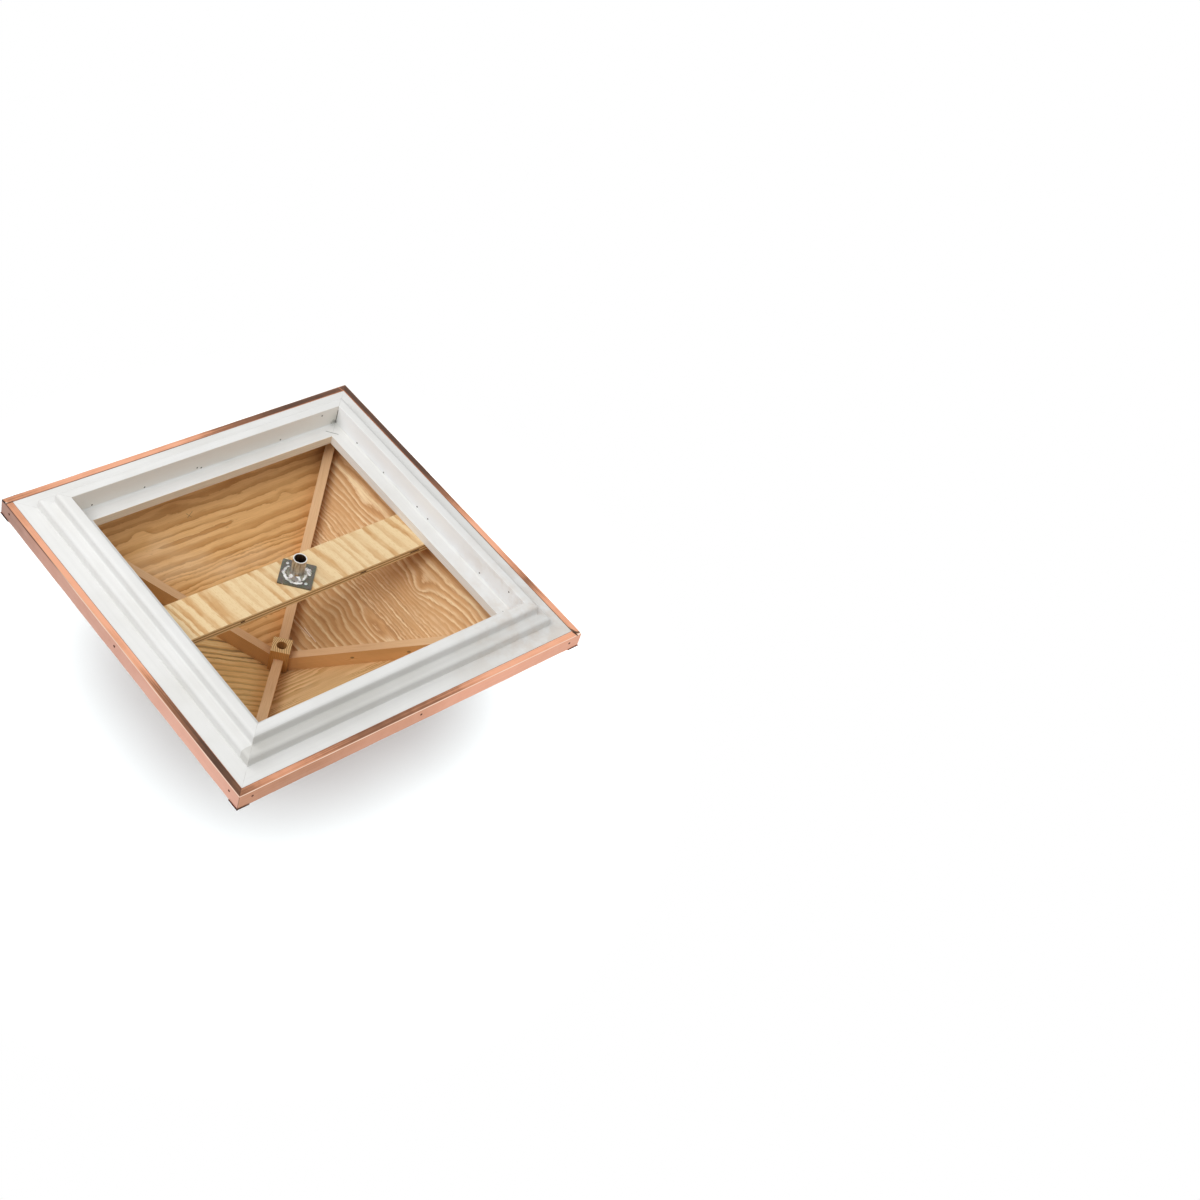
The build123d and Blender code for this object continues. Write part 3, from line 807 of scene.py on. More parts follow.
def rafter_finish(name, quarter, knots):
    """Planed softwood rafter: close straight grain along its length, orange-brown on its sides and
    paler on its lower edge as painted light, with small dark knots and the grain bent round them."""
    f = Finish(name)
    hip_slope = tan(sizes().roof_pitch) / DIAGONAL
    length = sqrt(1 + hip_slope**2)
    plan = turned([1 / DIAGONAL, -1 / DIAGONAL, 0.0], quarter)
    down = np.array([plan[0], plan[1], -hip_slope]) / length
    square = np.array([plan[0] * hip_slope, plan[1] * hip_slope, 1.0]) / length
    width = turned([1 / DIAGONAL, 1 / DIAGONAL, 0.0], quarter)
    along, depth, side = f.dot(down), f.dot(square), f.dot(width)
    bend = f.noise(f.vector(along * 3, depth * 9, side * 9), 1.0, 1.0)
    height = depth + side * 0.35 + (bend - 0.5) * (12 * MM)
    near_knots = 0.0
    for knot in in_metres(knots):
        du = (along - float(knot @ down)) / (16 * MM)
        dv = (depth - float(knot @ square)) / (6 * MM)
        height = height + f.math("EXPONENT", 0 - du * du - dv * dv) * (6 * MM)
        near_knots = near_knots + f.fall(du * du * 16 + dv * dv * 5, 0.35, 1.5)
    share = f.math("FRACT", height / (3.4 * MM))
    late = f.ease(share, 0.3, 0.8) * f.fall(share, 0.85, 1.0)
    fibres = f.noise(f.vector(along * 14, depth * 700, side * 700), 1.0, 3.0, 0.6)
    soft = f.noise(f.vector(along * 6, depth * 30, side * 30))
    base, = tones("rafter")
    colour = f.mix(late * 0.62, base, tuple(c * k for c, k in zip(base, (0.80, 0.68, 0.55))))
    colour = f.tint(colour, (0.50, 0.28, 0.11), soft, 0.3, 0.75, 0.45)
    colour = f.tint(colour, (0.50, 0.26, 0.11), fibres, 0.45, 0.8, 0.25)
    # Painted light: the lower edge is painted paler than the sides
    lower_edge = roof_levels()[0] / length - sizes().rafter_depth
    on_edge = f.fall(depth, lower_edge + 0.2 * MM, lower_edge + 0.6 * MM)
    edge = f.tint((0.77, 0.51, 0.295), (0.58, 0.34, 0.17), fibres, 0.35, 0.75, 0.6)
    colour = f.mix(on_edge * 0.85, colour, edge)
    if knots:
        colour = f.mix(near_knots * 0.85, colour, (0.20, 0.13, 0.05))
    return f.surface(colour, 0.62, fibres, 0.08 * MM, 0.5, sheen=0.3)


def hub_finish():
    """Hub block: growth rings about a pith far to one side, which show as stripes on the end grain and
    as upright lines on the sides, with pores."""
    f = Finish("hub_block")
    rise = f.noise(f.vector(f.x * 20, f.y * 20, f.z * 6))
    share = f.math("FRACT", (f.from_axis(*in_metres(HUB_PITH)) + rise * 4 * MM) / (3.4 * MM))
    late = f.ease(share, 0.35, 0.8) * f.fall(share, 0.88, 1.0)
    pores = f.noise(f.vector(f.x * 900, f.y * 900, f.z * 30))
    end_grain = f.mix(late, (0.90, 0.65, 0.33), (0.34, 0.18, 0.065))
    side_grain = f.mix(late * 0.5, (0.62, 0.34, 0.115), (0.40, 0.19, 0.06))
    colour = f.tint(end_grain, side_grain, f.z, hub_low.z + 0.2 * MM, hub_low.z + 0.6 * MM)
    colour = f.tint(colour, (0.30, 0.16, 0.06), pores, 0.45, 0.75, 0.30)
    return f.surface(colour, 0.7, pores - late * 0.6, 0.15 * MM, 0.6, sheen=0.25)


def copper_finish():
    """Bright sheet copper: fine rolling lines, soft cloudy dulling, folds darkened in stretches by painted
    reflections, a painted highlight along the arrises, dark raw edges, corner laps with painted shadow,
    shade and highlights among them, painted shading of the slopes, and small dents."""
    f = Finish("copper")
    reach = f.reach()
    lines = f.noise(f.along_sides(3, 260), 1.0, 3.0, 0.6)
    blotches = f.noise(f.place, 38.0, 4.0, 0.65)
    colour = slope_colour(f, reach, lines, blotches)
    colour = fold_colour(f, colour, reach, lines, blotches)
    # Laps, painted shadow, painted shade and painted highlights at the copper's corners
    for start, end, radius, corner_stroke_tone in CORNER_LAPS_AND_LIGHT:
        lap = f.stroke(in_metres(start), in_metres(end), radius * MM, 0.35)
        colour = f.mix(lap * 0.9, colour, corner_stroke_tone)
    roughness = f.ease(blotches, 0.2, 0.8, 0.30, 0.46)
    dents = f.noise(f.place, 16.0)
    height = dents * 3.0 + lines * 0.25 + blotches * 0.3
    return f.surface(colour, roughness, height, 0.25 * MM, 0.5, metallic=1.0)


def slope_colour(f, reach, lines, blotches):
    """Copper of the slopes: dull clouds, rolling lines, streaks where rain ran off, painted shading that
    darkens each side but the front by its own amount, and dark lines where the hip caps and the apex flashing
    lap over."""
    bright, = tones("copper")
    clouds = f.noise(f.place, 7.0, 4.0, 0.6)
    dull = f.ease(clouds, 0.42, 0.80) * 0.25 + f.ease(blotches, 0.50, 0.80) * 0.20
    colour = f.mix(dull, bright, (0.46, 0.22, 0.145))
    colour = f.tint(colour, (0.92, 0.62, 0.50), lines, 0.40, 0.80, 0.22)
    down_slope = f.mix(
        f.front_or_back(), f.vector(f.x * 1.5, f.y * 42, 0.0), f.vector(f.x * 42, f.y * 1.5, 3.0))
    run_off = f.noise(down_slope, 1.0, 3.0, 0.6)
    colour = f.tint(colour, (0.44, 0.205, 0.135), run_off, 0.45, 0.75, 0.22)
    # Painted shading: the right, back and left slopes are darkened by their own amounts, the front not at all
    sheet = f.by_side(*((dulled,) * 3 for dulled in (0.0, 0.42, 0.18, 0.30)))
    colour = f.mix(sheet, colour, (0.40, 0.18, 0.115))
    from_hip = abs(abs(f.x) - abs(f.y)) / DIAGONAL
    cap_line = f.fall(abs(from_hip - 19 * MM), 0.3 * MM, 1.3 * MM) * (reach > flashing_high.x)
    flashing_line = f.fall(abs(reach - flashing_high.x - 0.8 * MM), 0.3 * MM, 1.4 * MM)
    lap_line = f.math("MAXIMUM", cap_line, flashing_line) * f.ease(blotches, 0.30, 0.55, 0.35, 0.75)
    lap_line = lap_line * f.fall(reach, ROOF_HALF - 4 * MM, ROOF_HALF - 2 * MM)
    return f.mix(lap_line, colour, (0.20, 0.095, 0.06))


def fold_colour(f, colour, reach, lines, blotches):
    """Copper of the fascias and of the folds under them, with painted reflections that darken them to brown
    in stretches. Each stretch is a ramp from left to right or from front to back, 0 clean and 1 brown."""
    brown, = tones("copper_brown")
    to_right = f.x / ROOF_HALF * 0.5 + 0.5
    to_back = f.y / ROOF_HALF * 0.5 + 0.5
    # Painted reflections on the lips: a ramp along each side, 0 a bright reflection and 1 a dark one
    lip_dark_reflection = f.by_side(
        front=f.grey_ramp(to_right, [
            (0.0, 0.40), (0.20, 0.03), (0.48, 0.03), (0.58, 0.50), (0.78, 1.0), (0.90, 1.0), (1.0, 0.80)]),
        right=f.grey_ramp(to_back, [
            (0.0, 1.0), (0.36, 1.0), (0.58, 0.06), (0.66, 0.0), (0.80, 0.55), (0.88, 0.12), (1.0, 0.14)]),
        back=f.grey_ramp(to_right, [
            (0.0, 0.52), (0.12, 0.20), (0.35, 0.70), (0.58, 0.52), (0.73, 0.03), (1.0, 0.06)]),
        left=f.grey_ramp(to_back, [
            (0.0, 0.34), (0.20, 0.02), (0.42, 0.0), (0.50, 0.15), (0.58, 0.03), (0.65, 0.46), (0.88, 1.0),
            (1.0, 0.8)]))
    # Painted reflections on the fascias: one ramp for the front and back ones, one for the left and right
    # ones, 1 darkest
    fascia_back_reflection = f.grey_ramp(to_right, [
        (0.0, 0.80), (0.12, 1.0), (0.19, 1.0), (0.35, 0.60), (0.50, 0.57), (0.60, 0.15), (0.75, 0.0),
        (1.0, 0.2)])
    fascia_left_reflection = f.grey_ramp(to_back, [
        (0.0, 1.0), (0.05, 1.0), (0.20, 0.50), (0.60, 0.20), (0.76, 0.0), (0.90, 0.0), (1.0, 0.12)])
    on_fascia = f.ease(reach, ROOF_HALF - 1.5 * MM, ROOF_HALF - 0.8 * MM)
    # Painted reflection: the fascias' bright and dark tones differ between the front and back and the left
    # and right
    facing = f.front_or_back()
    clean = f.mix(facing, (0.80, 0.435, 0.325), (0.88, 0.435, 0.285))
    dulled = f.mix(facing, (0.28, 0.152, 0.118), (0.42, 0.195, 0.095))
    fascia = f.mix(f.mix(facing, fascia_left_reflection, fascia_back_reflection), clean, dulled)
    fascia = f.tint(fascia, (0.62, 0.33, 0.24), lines, 0.35, 0.75, 0.35)
    colour = f.mix(on_fascia * 0.8, colour, fascia)
    low = f.fall(f.z, SOFFIT_LEVEL + 0.3 * MM, SOFFIT_LEVEL + 0.9 * MM)
    on_lip = low * f.fall(reach, ROOF_HALF - 1.5 * MM, ROOF_HALF - 0.8 * MM)
    # The lips' painted reflections, streaked along the lip: orange-red where bright, dark brown where dark
    streaked = f.math("ADD", lip_dark_reflection, (lines - 0.5) * 0.8 + (blotches - 0.5) * 0.30, clamp=True)
    lip = f.ramp(streaked, [
        (0.0, (0.93, 0.47, 0.30)), (0.30, (0.72, 0.34, 0.20)), (0.55, (0.35, 0.165, 0.095)), (1.0, brown)])
    colour = f.mix(on_lip, colour, lip)
    # Painted highlight: a pale line along the arris at the foot of each fascia, painted near black instead
    # near the front left corner
    dark_arris_corner = f.fall(f.y, -250 * MM, -120 * MM) * f.fall(f.x, -370 * MM, -320 * MM)
    arris = f.ease(reach, ROOF_HALF - 1.3 * MM, ROOF_HALF - 0.4 * MM)
    arris = arris * f.fall(f.z, DRIP_LEVEL + 0.7 * MM, DRIP_LEVEL + 1.4 * MM)
    colour = f.mix(arris * 0.9, colour, f.mix(dark_arris_corner, (0.97, 0.76, 0.62), (0.035, 0.022, 0.018)))
    drip_half = ROOF_HALF - sizes().drip_width
    # The raw inner edge of the fold follows the lips' painted reflections: dark where they are dark
    raw = low * f.fall(reach, drip_half + 0.6 * MM, drip_half + 1.2 * MM)
    colour = f.mix(raw * 0.85, colour, f.mix(lip_dark_reflection, (0.16, 0.07, 0.045), (0.66, 0.27, 0.14)))
    return f.tint(colour, (0.13, 0.06, 0.045), reach, ROOF_HALF + 0.75 * MM, ROOF_HALF + 0.95 * MM)


def steel_finish(name, base, bright, bright_level, rust):
    """Galvanised steel: mottled zinc spangle, bright patches that are burnished metal and, on the weld beads
    and the pipe's foot, painted highlights, and some rust.
    """
    f = Finish(name)
    spangle = f.node(
        "ShaderNodeTexVoronoi", {"feature": "F1"}, {"Vector": f.place, "Scale": 260.0}, "Color")
    grains = f.noise(f.place, 320.0, 4.0, 0.65)
    patches = f.noise(f.place, 75.0, 3.0, 0.6)
    colour = f.tint(base, tuple(1.5 * c for c in base), grains, 0.35, 0.7)
    colour = f.mix(0.12, colour, spangle, "OVERLAY")
    burnish_and_glint = f.ease(patches, bright_level, bright_level + 0.12)
    colour = f.mix(burnish_and_glint, colour, bright)
    colour = f.tint(colour, (0.30, 0.15, 0.06), f.noise(f.place, 110.0, 3.0, 0.6), 0.60, 0.75, rust)
    roughness = f.ease(grains, 0.2, 0.8, 0.36, 0.58) - burnish_and_glint * 0.12
    return f.surface(colour, roughness, grains * 0.8 + patches * 0.5, 0.15 * MM, 0.7, metallic=0.85)


def pipe_finish(bore_radius):
    """Welded steel pipe: brown-grey scale with bright streaks, a filed bright rim and a dark bore."""
    f = Finish("pipe_steel")
    grains = f.noise(f.place, 260.0, 4.0, 0.65)
    streaks = f.noise(f.vector(f.x * 130, f.y * 130, f.z * 26), 1.0, 3.0, 0.6)
    colour = f.tint((0.23, 0.18, 0.13), (0.62, 0.60, 0.56), streaks, 0.35, 0.65)
    colour = f.tint(colour, (0.20, 0.12, 0.07), grains, 0.5, 0.75, 0.5)
    scorch = f.spot((*in_metres(SCORCH), PLATE_BOTTOM - 7 * MM), 4 * MM, 0.6)
    colour = f.mix(scorch * 0.8, colour, (0.60, 0.34, 0.10))
    rim = f.fall(f.z, PIPE_END + 0.9 * MM, PIPE_END + 1.5 * MM)
    colour = f.mix(rim, colour, (0.86, 0.85, 0.83))
    inside = f.fall(f.from_axis(), bore_radius + 0.15 * MM, bore_radius + 0.45 * MM)
    bore = f.tint((0.030, 0.022, 0.017), (0.15, 0.085, 0.045), streaks, 0.40, 0.62)
    colour = f.mix(inside * (1 - rim), colour, bore)
    roughness = f.ease(grains, 0.2, 0.8, 0.30, 0.5) + inside * 0.25
    return f.surface(colour, roughness, grains, 0.2 * MM, 0.6, metallic=0.85)


def grainy_finish(name, scale, detail, dark, pale, roughness, sheen):
    """Two tones by fine grains, for nail heads and nail marks."""
    f = Finish(name)
    grains = f.noise(f.place, scale, detail)
    return f.surface(f.tint(dark, pale, grains, 0.3, 0.7), roughness, grains, 0.1 * MM, 0.5, sheen=sheen)


def caulk_grid(leg):
    """The caulk bead as one closed ring of outlines: a hollow quarter round in the corner between
    collar and soffit, whose face waves by sine waves along each side."""
    turn = np.linspace(0, pi / 2, 7)
    corner = np.array([COLLAR_INNER, SOFFIT_LEVEL])
    curve = corner - leg + leg * np.stack([np.cos(turn), np.sin(turn)], 1)
    outward, level = np.concatenate([curve, [corner + 0.3 * MM]]).T[:, None]
    waving = np.array([0.0] + [1.0] * (len(curve) - 2) + [0.0, 0.0])
    share = np.linspace(-1, 1, 90, endpoint=False)[:, None]
    sides = []
    for quarter in range(4):
        wave = 0.5 * MM * np.sin(share * 31 + quarter) * np.sin(share * 13) * waving
        sides.append(turned(np.stack([share * (outward - wave), wave - outward, level - wave], -1), quarter))
    return np.concatenate(sides)


class CUPOLA_OT_white_trim(bpy.types.Operator):
    """Paint the soffit boards and build the collar mouldings and the caulk bead"""

    bl_idname = "cupola.white_trim"
    bl_label = "White trim"

    def execute(self, context):
        s = sizes()
        paint = paint_finish()
        step = COLLAR_OUTER - s.collar_step
        outline = eased(
            [(COLLAR_INNER, 0.0), (step, 0.0), (step, s.outer_step_level), (COLLAR_OUTER, s.outer_step_level),
             (COLLAR_OUTER, SOFFIT_LEVEL), (COLLAR_INNER, SOFFIT_LEVEL)],
            [s.arris, s.step_round, s.cove, s.step_round, 0.0, 0.0], 7)
        for quarter, side in enumerate(SIDES):
            dress(f"soffit_board_{side}", paint)
            grid = swept_side(outline, np.linspace(-1, 1, 41), quarter)
            piece = make_piece(f"moulding_{side}", grid, capped_faces(grid), paint)
            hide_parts(f"collar_moulding_{side}")
        grid = caulk_grid(s.caulk)
        make_piece("caulk_bead", grid, grid_faces(grid, True, True), paint)
        return {"FINISHED"}


class CUPOLA_OT_woodwork(bpy.types.Operator):
    """Finish the plywood panels, rafters, hub and cross beam"""

    bl_idname = "cupola.woodwork"
    bl_label = "Woodwork"

    def execute(self, context):
        finish_panels()
        for quarter, corner in enumerate(CORNERS):
            dress(f"hip_rafter_{corner}", rafter_finish(f"rafter_{corner}", quarter, KNOTS.get(corner, [])))
        dress("hub_block", hub_finish())
        dress("cross_beam", beam_finish())
        return {"FINISHED"}


def copper_outline():
    """Section through one copper panel: up its slope, over the fascia and the fold, and back inside.
    Gives the outline, the number of points on the slope and the number up to the fold's end."""
    s = sizes()
    slope = tan(s.roof_pitch)
    wood_apex, copper_apex = roof_levels()[1:]
    drip_half = ROOF_HALF - s.drip_width
    inside = ROOF_HALF - s.copper_thickness
    sheet = eased(
        [(SLOPE_START, copper_apex - slope * SLOPE_START), (ROOF_HALF, copper_apex - slope * ROOF_HALF),
         (ROOF_HALF, DRIP_LEVEL), (drip_half, DRIP_LEVEL), (drip_half, SOFFIT_LEVEL),
         (inside, SOFFIT_LEVEL), (inside, wood_apex - slope * inside),
         (SLOPE_START, wood_apex - slope * SLOPE_START)],
        [0.0, 3 * s.fold_round, s.fold_round, 0.4 * MM, 0.0, 0.0, 0.0, 0.0], 5)
    outward = np.linspace(SLOPE_START, SLOPE_END, 40)
    up_slope = np.stack([outward, copper_apex - slope * outward], 1)
    fold_end, drip_start = sheet[6], sheet[7]
    fascia = fold_end + np.linspace(0.2, 0.8, 5)[:, None] * (drip_start - fold_end)
    outline = np.concatenate([up_slope, sheet[1:7], fascia, sheet[7:]])
    return outline, len(up_slope), len(up_slope) + 6 + len(fascia) + 6


def ripple(points, share, quarter, on_slope, moving):
    """Soft sine waves of the sheet, none at the hips: up and down on the slope, where on_slope counts
    its points, and only outward on the fascia and the fold, up to the moving one."""
    phase = 1.7 * quarter
    outward = -points[..., 1]
    hips = np.clip((1 - np.abs(share)) / 0.08, 0, 1)
    wave = np.sin(share * 9 + phase) * np.sin(outward * 23 + phase)
    wave = wave + 0.6 * np.sin(share * 17 - 2 * phase + outward * 31)
    flashed = 55 * MM
    swell = np.zeros(points.shape[1])
    down_slope = np.linspace(SLOPE_START, SLOPE_END, on_slope)
    swell[:on_slope] = np.sin(pi * np.clip((down_slope - flashed) / (ROOF_HALF - flashed), 0, 1))
    on_fascia = np.zeros(points.shape[1])
    on_fascia[on_slope + 3:moving] = 1.0
    on_fascia = on_fascia * (outward > ROOF_HALF - sizes().copper_thickness)
    push = 0.28 * MM * (1 + np.sin(share * 21 + phase) * np.sin(share * 8.3 - phase))
    points = points.copy()
    points[..., 2] += 0.35 * MM * wave * hips * swell
    points[..., 1] -= push * hips * on_fascia
    return points


class CUPOLA_OT_copper(bpy.types.Operator):
    """Fold the four copper panels and finish the hip caps, flashing and ferrule"""

    bl_idname = "cupola.copper"
    bl_label = "Copper roof"

    def execute(self, context):
        copper = copper_finish()
        outline, on_slope, moving = copper_outline()
        for quarter, side in enumerate(SIDES):
            grid = swept_side(
                outline, np.linspace(-1, 1, 81), quarter,
                lambda points, share: ripple(points, share, quarter, on_slope, moving))
            piece = make_piece(f"copper_{side}", grid, capped_faces(grid), copper)
            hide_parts(f"copper_panel_{side}")
        for node_name in [*(f"hip_cap_{corner}" for corner in CORNERS), "apex_flashing", "rod_ferrule"]:
            dress(node_name, copper)
        return {"FINISHED"}


def dome(radius, rise, steps):
    """Outline of a low dome from its top to its rim, in equal turns."""
    turn = np.linspace(0, pi / 2, steps)
    return np.stack([radius * np.sin(turn), rise * np.cos(turn)], 1)


class CUPOLA_OT_nails(bpy.types.Operator):
    """Set the copper nails in the fascias and the painted-over nails inside the collar"""

    bl_idname = "cupola.nails"
    bl_label = "Nails"

    def execute(self, context):
        s = sizes()
        r = s.nail_radius
        head = np.concatenate([dome(r, 0.9 * MM, 5), [[0.9 * r, -0.4 * MM], [0.0, -0.4 * MM]]])
        heads = []
        for quarter in range(4):
            outward = turned([0.0, -1.0, 0.0], quarter)
            for along in (-s.nail_spacing, 0.0, s.nail_spacing):
                spot = turned([along, -ROOF_HALF - 0.1 * MM, s.nail_level], quarter)
                heads.append(lathe(head, spot, outward, 16))
        dulled = grainy_finish(
            "copper_nail", scale=900.0, detail=3.0, dark=(0.055, 0.018, 0.012), pale=(0.12, 0.045, 0.028),
            roughness=0.75, sheen=0.2)
        make_group("fascia_nails", heads, dulled)
        dish = np.array([[0.0, 0.10], [0.7, 0.16], [1.0, 0.05], [1.0, -0.3], [0.0, -0.3]]) * MM
        marks = []
        for quarter, spots in enumerate((FRONT_NAIL_MARKS, RIGHT_NAIL_MARKS)):
            inward = turned([0.0, 1.0, 0.0], quarter)
            for along, level in in_metres(spots):
                spot = turned([along, -COLLAR_INNER, level], quarter)
                marks.append(lathe(dish * [1.9, 1.0], spot, inward, 12))
        ledge_spot = (*in_metres(LEDGE_NAIL_MARK), SOFFIT_LEVEL)
        marks.append(lathe(dish * [0.9, 1.0], ledge_spot, (0, 0, -1), 12))
        filled = grainy_finish(
            "nail_mark", scale=800.0, detail=2.0, dark=(0.035, 0.035, 0.03), pale=(0.12, 0.11, 0.10),
            roughness=0.7, sheen=0.5)
        make_group("nail_marks", marks, filled)
        return {"FINISHED"}


def plate_grid(corner):
    """The square plate turned by 45 degrees: its rounded outline shrinks towards its lower face, by an
    eased edge, and stands straight above that."""
    side = (plate_high.x - plate_low.x) / 2 * DIAGONAL / 2
    plan = eased([(side, side), (-side, side), (-side, -side), (side, -side)], [corner] * 4, 5)
    plan = plan @ np.array([[1, 1], [-1, 1]]) / DIAGONAL
    thickness = plate_high.z - plate_low.z
    rings = []
    for inset, rise in ((0.7 * MM, 0.0), (0.2 * MM, 0.2 * MM), (0.0, 0.7 * MM), (0.0, thickness)):
        ring = plan * (1 - inset / side)
        rings.append(np.concatenate([ring, np.full((len(ring), 1), PLATE_BOTTOM + rise)], 1))
    return np.stack(rings)


def foot_grid(pipe_radius):
    """The weld's hollow foot round the pipe, as a closed ring: its level falls by the power 2.2 of the
    share left towards the rim, and sine waves round it make the rim uneven and the beads lumpy."""
    angle = np.linspace(0, 2 * pi, 140, endpoint=False)[:, None]
    share = np.linspace(0, 1, 14)[None]
    reach = socket_high.x - 0.4 * MM + 0.5 * MM * np.sin(angle * 3 + 1) + 0.25 * MM * np.sin(angle * 7)
    beads = 0.45 * MM * np.abs(np.sin(angle * 17 + 2.2 * share)) * np.sin(pi * share)
    radius = pipe_radius - 0.3 * MM + (reach - pipe_radius) * share
    hollow = 7 * MM * (1 - share) ** 2.2
    level = PLATE_BOTTOM - hollow - beads - 1.6 * MM * np.sin(pi * share) ** 0.7
    level = np.minimum(level, PLATE_BOTTOM + 0.2 * MM)
    curve = np.stack([radius * np.cos(angle), radius * np.sin(angle), level], -1)
    base = curve.copy()
    base[..., 2] = PLATE_BOTTOM + 0.5 * MM
    return np.concatenate([curve, base[:, ::-1]], 1)


def weld_arc(radius, thickness, begin, finish, phase):
    """A lumpy bead on the plate, round the pipe from one angle to another, as a grid of rings. The
    bead's ring shrinks to nothing at both ends, and sine waves of several lengths lump it."""
    share = np.linspace(0, 1, 90)[:, None]
    angle = np.radians(begin + (finish - begin) * share)
    size = np.sin(pi * share) ** 0.35 * (1 + 0.16 * np.sin(share * 47 + phase) + 0.12 * np.sin(share * 19))
    turn = np.linspace(0, 2 * pi, 16, endpoint=False)[None]
    middle = radius + 0.7 * np.sin(share * 11 + phase) + 0.4 * np.sin(share * 29)
    reach = middle + thickness * size * np.cos(turn)
    height = 0.62 * thickness * size * np.sin(turn)
    return np.stack([reach * np.cos(angle) * MM, reach * np.sin(angle) * MM, PLATE_BOTTOM - height * MM], -1)


class CUPOLA_OT_bracket(bpy.types.Operator):
    """Build the rod bracket: plate, pipe, weld and screws"""

    bl_idname = "cupola.bracket"
    bl_label = "Rod bracket"

    def execute(self, context):
        s = sizes()
        steel, = tones("steel")
        plate_steel = steel_finish(
            "bracket_steel", steel, bright=(0.62, 0.61, 0.58), bright_level=0.64, rust=0.25)
        # The pipe foot's and the weld beads' bright patches are painted highlights
        foot_steel = steel_finish(
            "foot_steel", (0.26, 0.235, 0.20), bright=(0.86, 0.85, 0.82), bright_level=0.52, rust=0.6)
        weld_steel = steel_finish(
            "weld_steel", (0.50, 0.49, 0.46), bright=(0.92, 0.91, 0.89), bright_level=0.40, rust=0.15)
        zinc = steel_finish(
            "screw_zinc", (0.55, 0.56, 0.55), bright=(0.85, 0.86, 0.85), bright_level=0.5, rust=0.05)
        grid = plate_grid(s.plate_corner)
        plate = make_piece("plate", grid, capped_faces(grid), plate_steel)
        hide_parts("bracket_plate")
        foot = PLATE_BOTTOM + 0.2 * MM
        outline = eased(
            [(s.pipe_bore, foot), (s.pipe_radius, foot), (s.pipe_radius, PIPE_END), (s.pipe_bore, PIPE_END)],
            [0.0, 0.0, 0.7 * MM, 0.9 * MM], 4)
        grid = lathe(outline, (0, 0, 0), (0, 0, 1), 64)
        pipe = make_piece("pipe", grid, grid_faces(grid, True, True), pipe_finish(s.pipe_bore))
        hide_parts("rod_socket")
        grid = foot_grid(s.pipe_radius)
        make_piece("pipe_foot", grid, grid_faces(grid, True, True), foot_steel, 2 * SHARP)
        beads = [weld_arc(*arc) for arc in WELD_ARCS]
        make_group("weld_beads", beads, weld_steel, wrap_rows=False, wrap_columns=True)
        r = s.screw_radius
        head = np.concatenate([
            [[0.0, 0.6 * MM], [0.22 * r, 0.7 * MM], [0.42 * r, 1.5 * MM]], dome(r, 1.7 * MM, 6)[3:],
            [[r, -0.2 * MM], [0.0, -0.2 * MM]]])
        screws = [
            lathe(head, (0.0, along, PLATE_BOTTOM), (0, 0, -1), 20) for along in in_metres(PLATE_SCREWS)]
        make_group("plate_screws", screws, zinc)
        return {"FINISHED"}


def white_surroundings(dome):
    """White for the camera and for gloss, and a dimmer white dome for matt surfaces and for gloss that
    only matt surfaces see."""
    world = Nodes(bpy.data.worlds.new("surroundings"))
    camera, gloss, through, bounces = (
        world.node("ShaderNodeLightPath", output=name)
        for name in ("Is Camera Ray", "Is Glossy Ray", "Is Transmission Ray", "Diffuse Depth"))
    gloss = gloss * (1 - world.math("MINIMUM", bounces, 1.0))
    white = world.math("MAXIMUM", world.math("MAXIMUM", camera, gloss), through)
    background = world.node(
        "ShaderNodeBackground", None, {"Color": (1, 1, 1, 1), "Strength": white * (1 - dome) + dome})
    world.node("ShaderNodeOutputWorld", None, {"Surface": background})
    return world.owner


def lit_disc(name, centre, normal, radius, share, colour=(1.0, 1.0, 1.0)):
    """A one-sided round floor, seen only from the side that its normal points to. It is part matt white,
    which keeps the object's shadow, part white for the camera, and fades out at its rim."""
    rings = np.linspace(0.0, radius, 30)[1:, None, None]
    turns = np.linspace(0, 2 * pi, 96, endpoint=False)[None, :, None]
    normal = Vector(normal).normalized()
    first = normal.orthogonal().normalized()
    second = normal.cross(first)
    grid = np.array(centre) + rings * (np.cos(turns) * np.array(first) + np.sin(turns) * np.array(second))
    faces = grid_faces(grid, wrap_columns=True).tolist()
    faces.append(list(range(grid.shape[1]))[::-1])
    mesh = bpy.data.meshes.new(name)
    mesh.from_pydata(grid.reshape(-1, 3).tolist(), [], faces)
    mesh.update()
    if sum(face.normal.dot(normal) * face.area for face in mesh.polygons) < 0:
        mesh.flip_normals()
    f = Finish(name)
    diffuse = f.node("ShaderNodeBsdfDiffuse", None, {"Color": (*colour, 1)})
    white = f.node("ShaderNodeEmission", None, {"Strength": 1.0})
    clear = f.node("ShaderNodeBsdfTransparent")
    solid = f.node("ShaderNodeMixShader", None, {0: share, 1: white, 2: diffuse})
    back = f.node("ShaderNodeNewGeometry", output="Backfacing")
    gone = f.math("MAXIMUM", back, f.ease(f.away_from(centre), radius * 0.55, radius * 0.97))
    shader = f.node("ShaderNodeMixShader", None, {0: gone, 1: solid, 2: clear})
    f.node("ShaderNodeOutputMaterial", None, {"Surface": shader})
    disc = bpy.data.objects.new(name, mesh)
    bpy.context.scene.collection.objects.link(disc)
    mesh.materials.append(f.owner)
    disc.visible_shadow = False
    disc.visible_diffuse = False
    disc.visible_glossy = False
    return disc


